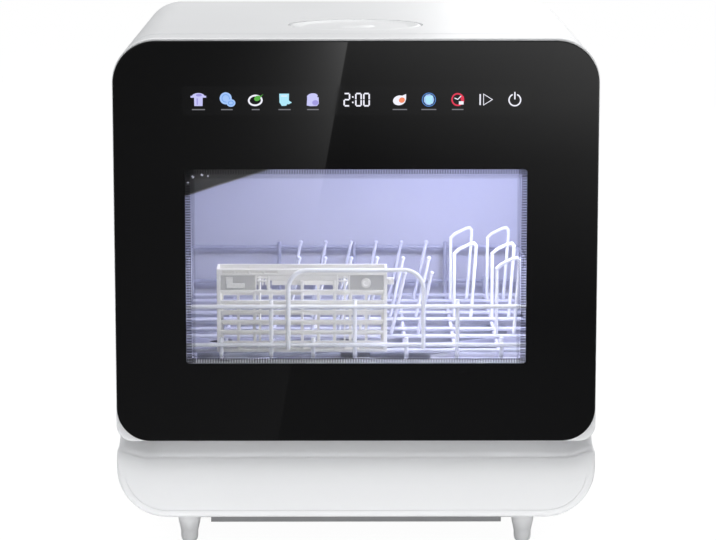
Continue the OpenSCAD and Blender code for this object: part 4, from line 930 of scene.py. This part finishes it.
# Each colour of light is one piece. From the left: a covered pot, two discs, a ring with a leaf, a glass,
# a jar, the clock, a plate with a spot, a disc in a ring, a dial with hands, start and power.
symbols = {
    "symbols_lavender": ("lavender light", (0.56, 0.56, 0.92), [
        prism([(-139, 392), (-132, 392), (-131.8, 399.6), (-139.2, 399.6)]),
        prism(ellipse(-135.5, 400, 5.6, 3.2, 0, 180, 16)),
        prism([(-142.2, 399.2), (-128.8, 399.2), (-128.8, 400.8), (-142.2, 400.8)]),
        prism(ellipse(-37.6, 400.4, 4.6, 2.5, turn_by=8)),
        prism([(-42.4, 392.4), (-39, 391.8), (-33.6, 392), (-32, 394), (-32.2, 399.6), (-42, 399.2)], 0)]),
    "symbols_violet": ("violet light", (0.33, 0.30, 0.72), [
        prism([(-137, 393), (-136, 393), (-136, 398.6), (-137, 398.6)], 3),
        prism(ellipse(-135, 401.3, 2.6, 1.1), 3),
        prism(ellipse(-35, 394.8, 2.7, 2.2), 3)]),
    "symbols_pale_blue": ("pale blue light", (0.36, 0.56, 0.95), [
        prism(ellipse(-112, 398.6, 5.2, 5.2), 0),
        prism(ellipse(-107.6, 394.6, 3.9, 3.3), 2),
        prism(ellipse(62.6, 397.4, 4.6, 4.9, steps=9), 1)]),
    "symbols_deep_blue": ("deep blue light", (0.10, 0.30, 0.80), [
        stroke(ellipse(-112, 398.6, 3.2, 3.2), 0.5, 1),
        stroke(ellipse(-107.6, 394.6, 2.2, 1.7), 0.5, 3),
        stroke(ellipse(62.6, 397.4, 5.7, 5.7, steps=40), 0.55, 0)]),
    "symbols_cyan": ("cyan light", (0.42, 0.80, 0.95), [
        prism([(-66, 402.6), (-57.6, 402.6), (-57.8, 396), (-60, 392.2), (-63.8, 392), (-65.8, 395)]),
        prism([(-58.2, 397), (-55.2, 395), (-57.8, 393.4), (-60.4, 394)], 2),
        prism([(59.6, 400.4), (66, 400.9), (65.6, 397.6), (66, 394.4), (61.8, 393.6), (59.8, 395.6)], 2)]),
    "symbols_white": ("white light", (0.90, 0.90, 1.0), [
        stroke(ellipse(-86.6, 396.8, 5.6, 4.2, turn_by=4), 1.5),
        stroke([(-64.4, 400.6), (-59.4, 400.6)], 0.7, 3, closed=False),
        prism(ellipse(37.2, 396.8, 5.5, 4.2, turn_by=12), 0),
        prism([(38, 400.2), (43, 402.2), (43, 397.6), (40, 396)]),
        stroke([(106.7, 402.2), (106.7, 392.7)], 1.2, closed=False),
        stroke([(109.6, 402.2), (117.2, 397.45), (109.6, 392.7)], 1.15),
        stroke(ellipse(136.5, 397.1, 5.0, 5.0, 112, 428, 40), 1.15, closed=False),
        stroke([(136.5, 404), (136.5, 397.6)], 1.15, closed=False),
        stroke([(87.4, 397.6), (90.4, 400.6)], 0.8, 2, closed=False),
        stroke([(87.4, 397.6), (84.6, 398.8)], 0.8, 2, closed=False),
        prism([(88.4, 393.2), (92.4, 393.2), (92.4, 396), (88.4, 396)], 3)] + clock),
    "symbols_green": ("green light", (0.09, 0.42, 0.05), [
        prism(ellipse(-84.8, 398.6, 2.9, 2.2, turn_by=28), 3),
        prism([(-84, 399.4), (-79.6, 402.4), (-82.4, 399)], 3)]),
    "symbols_orange": ("orange light", (0.90, 0.25, 0.12), [
        prism(ellipse(39.4, 397, 2.6, 2.3, turn_by=20), 2)]),
    "symbols_red": ("red light", (0.75, 0.02, 0.07), [
        stroke(ellipse(87.4, 397.5, 4.9, 5.0, steps=40), 1.35),
        prism([(89.6, 399.8), (92.6, 400.4), (92.9, 395), (90.6, 394.6)], 2)]),
    "symbols_grey": ("grey light", (0.17, 0.17, 0.19), [
        stroke([(x - w, bar_z), (x + w, bar_z)], 0.95, closed=False) for x, w in bar_places])}
for name, (light_name, colour, pieces) in symbols.items():
    mark = joined(name, pieces)
    dress(mark, lit_print(light_name, colour))
    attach(mark, "door")
# The strip under the symbols is a little less black than the print, in a layer behind theirs
strip_half, strip_low, strip_high, strip_layer = 149.5, 384, 409, -0.4
strip = prism([(-strip_half, strip_low), (strip_half, strip_low), (strip_half, strip_high),
               (-strip_half, strip_high)], strip_layer)
strip.name = "symbol_strip"
dress(strip, finish("dark symbol strip", (0.006, 0.006, 0.0064), 0.02, grain=60, depth=0.0004))
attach(strip, "door")

# Tub lamp
# A smoked cover over a lit strip in the tub's upper corner, clipped to its wall.
# Four small lights show in the cover, and a paler line along its lower edge is a painted highlight.
lamp_d = 63.9
light_places = ((-148.4, 317, 1.0), (-144, 322.4, 1.3), (-136, 324.2, 1.2), (-130.6, 323.2, 0.8))
highlight_places = [(-173, 298.8), (-146.7, 306.8), (-121.5, 315.3), (-104.8, 320.4), (-60, 334.8), (-31, 343.8)]
dress(nodes["lamp_cover"], finish("smoked lamp cover", (0.075, 0.073, 0.078), 0.22, grain=4, depth=0.01))
dress(nodes["lamp_strip"], finish("lamp strip", (0.8, 0.8, 0.9), 0.4, glow=((0.85, 0.87, 1.0), 2.0)))
lights = joined("lamp_lights", [
    turned("light", [(0, lamp_d), (r, lamp_d), (r, lamp_d - 0.3), (0, lamp_d - 0.5)], (x, 0, z),
           axis="y", steps=16) for x, z, r in light_places])
dress(lights, lit_print("tub lamp lights", (0.75, 0.76, 0.9)))
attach(lights, "cabinet")
# A painted highlight: a paler line stroked along the cover's lower edge.
highlight_line = stroke(highlight_places, 1.1, closed=False, deep=(lamp_d - 0.4, lamp_d + 0.7))
highlight_line.name = "lamp_edge_highlight"
dress(highlight_line, finish("painted highlight on smoked edge", (0.26, 0.25, 0.25), 0.3))
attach(highlight_line, "cabinet")
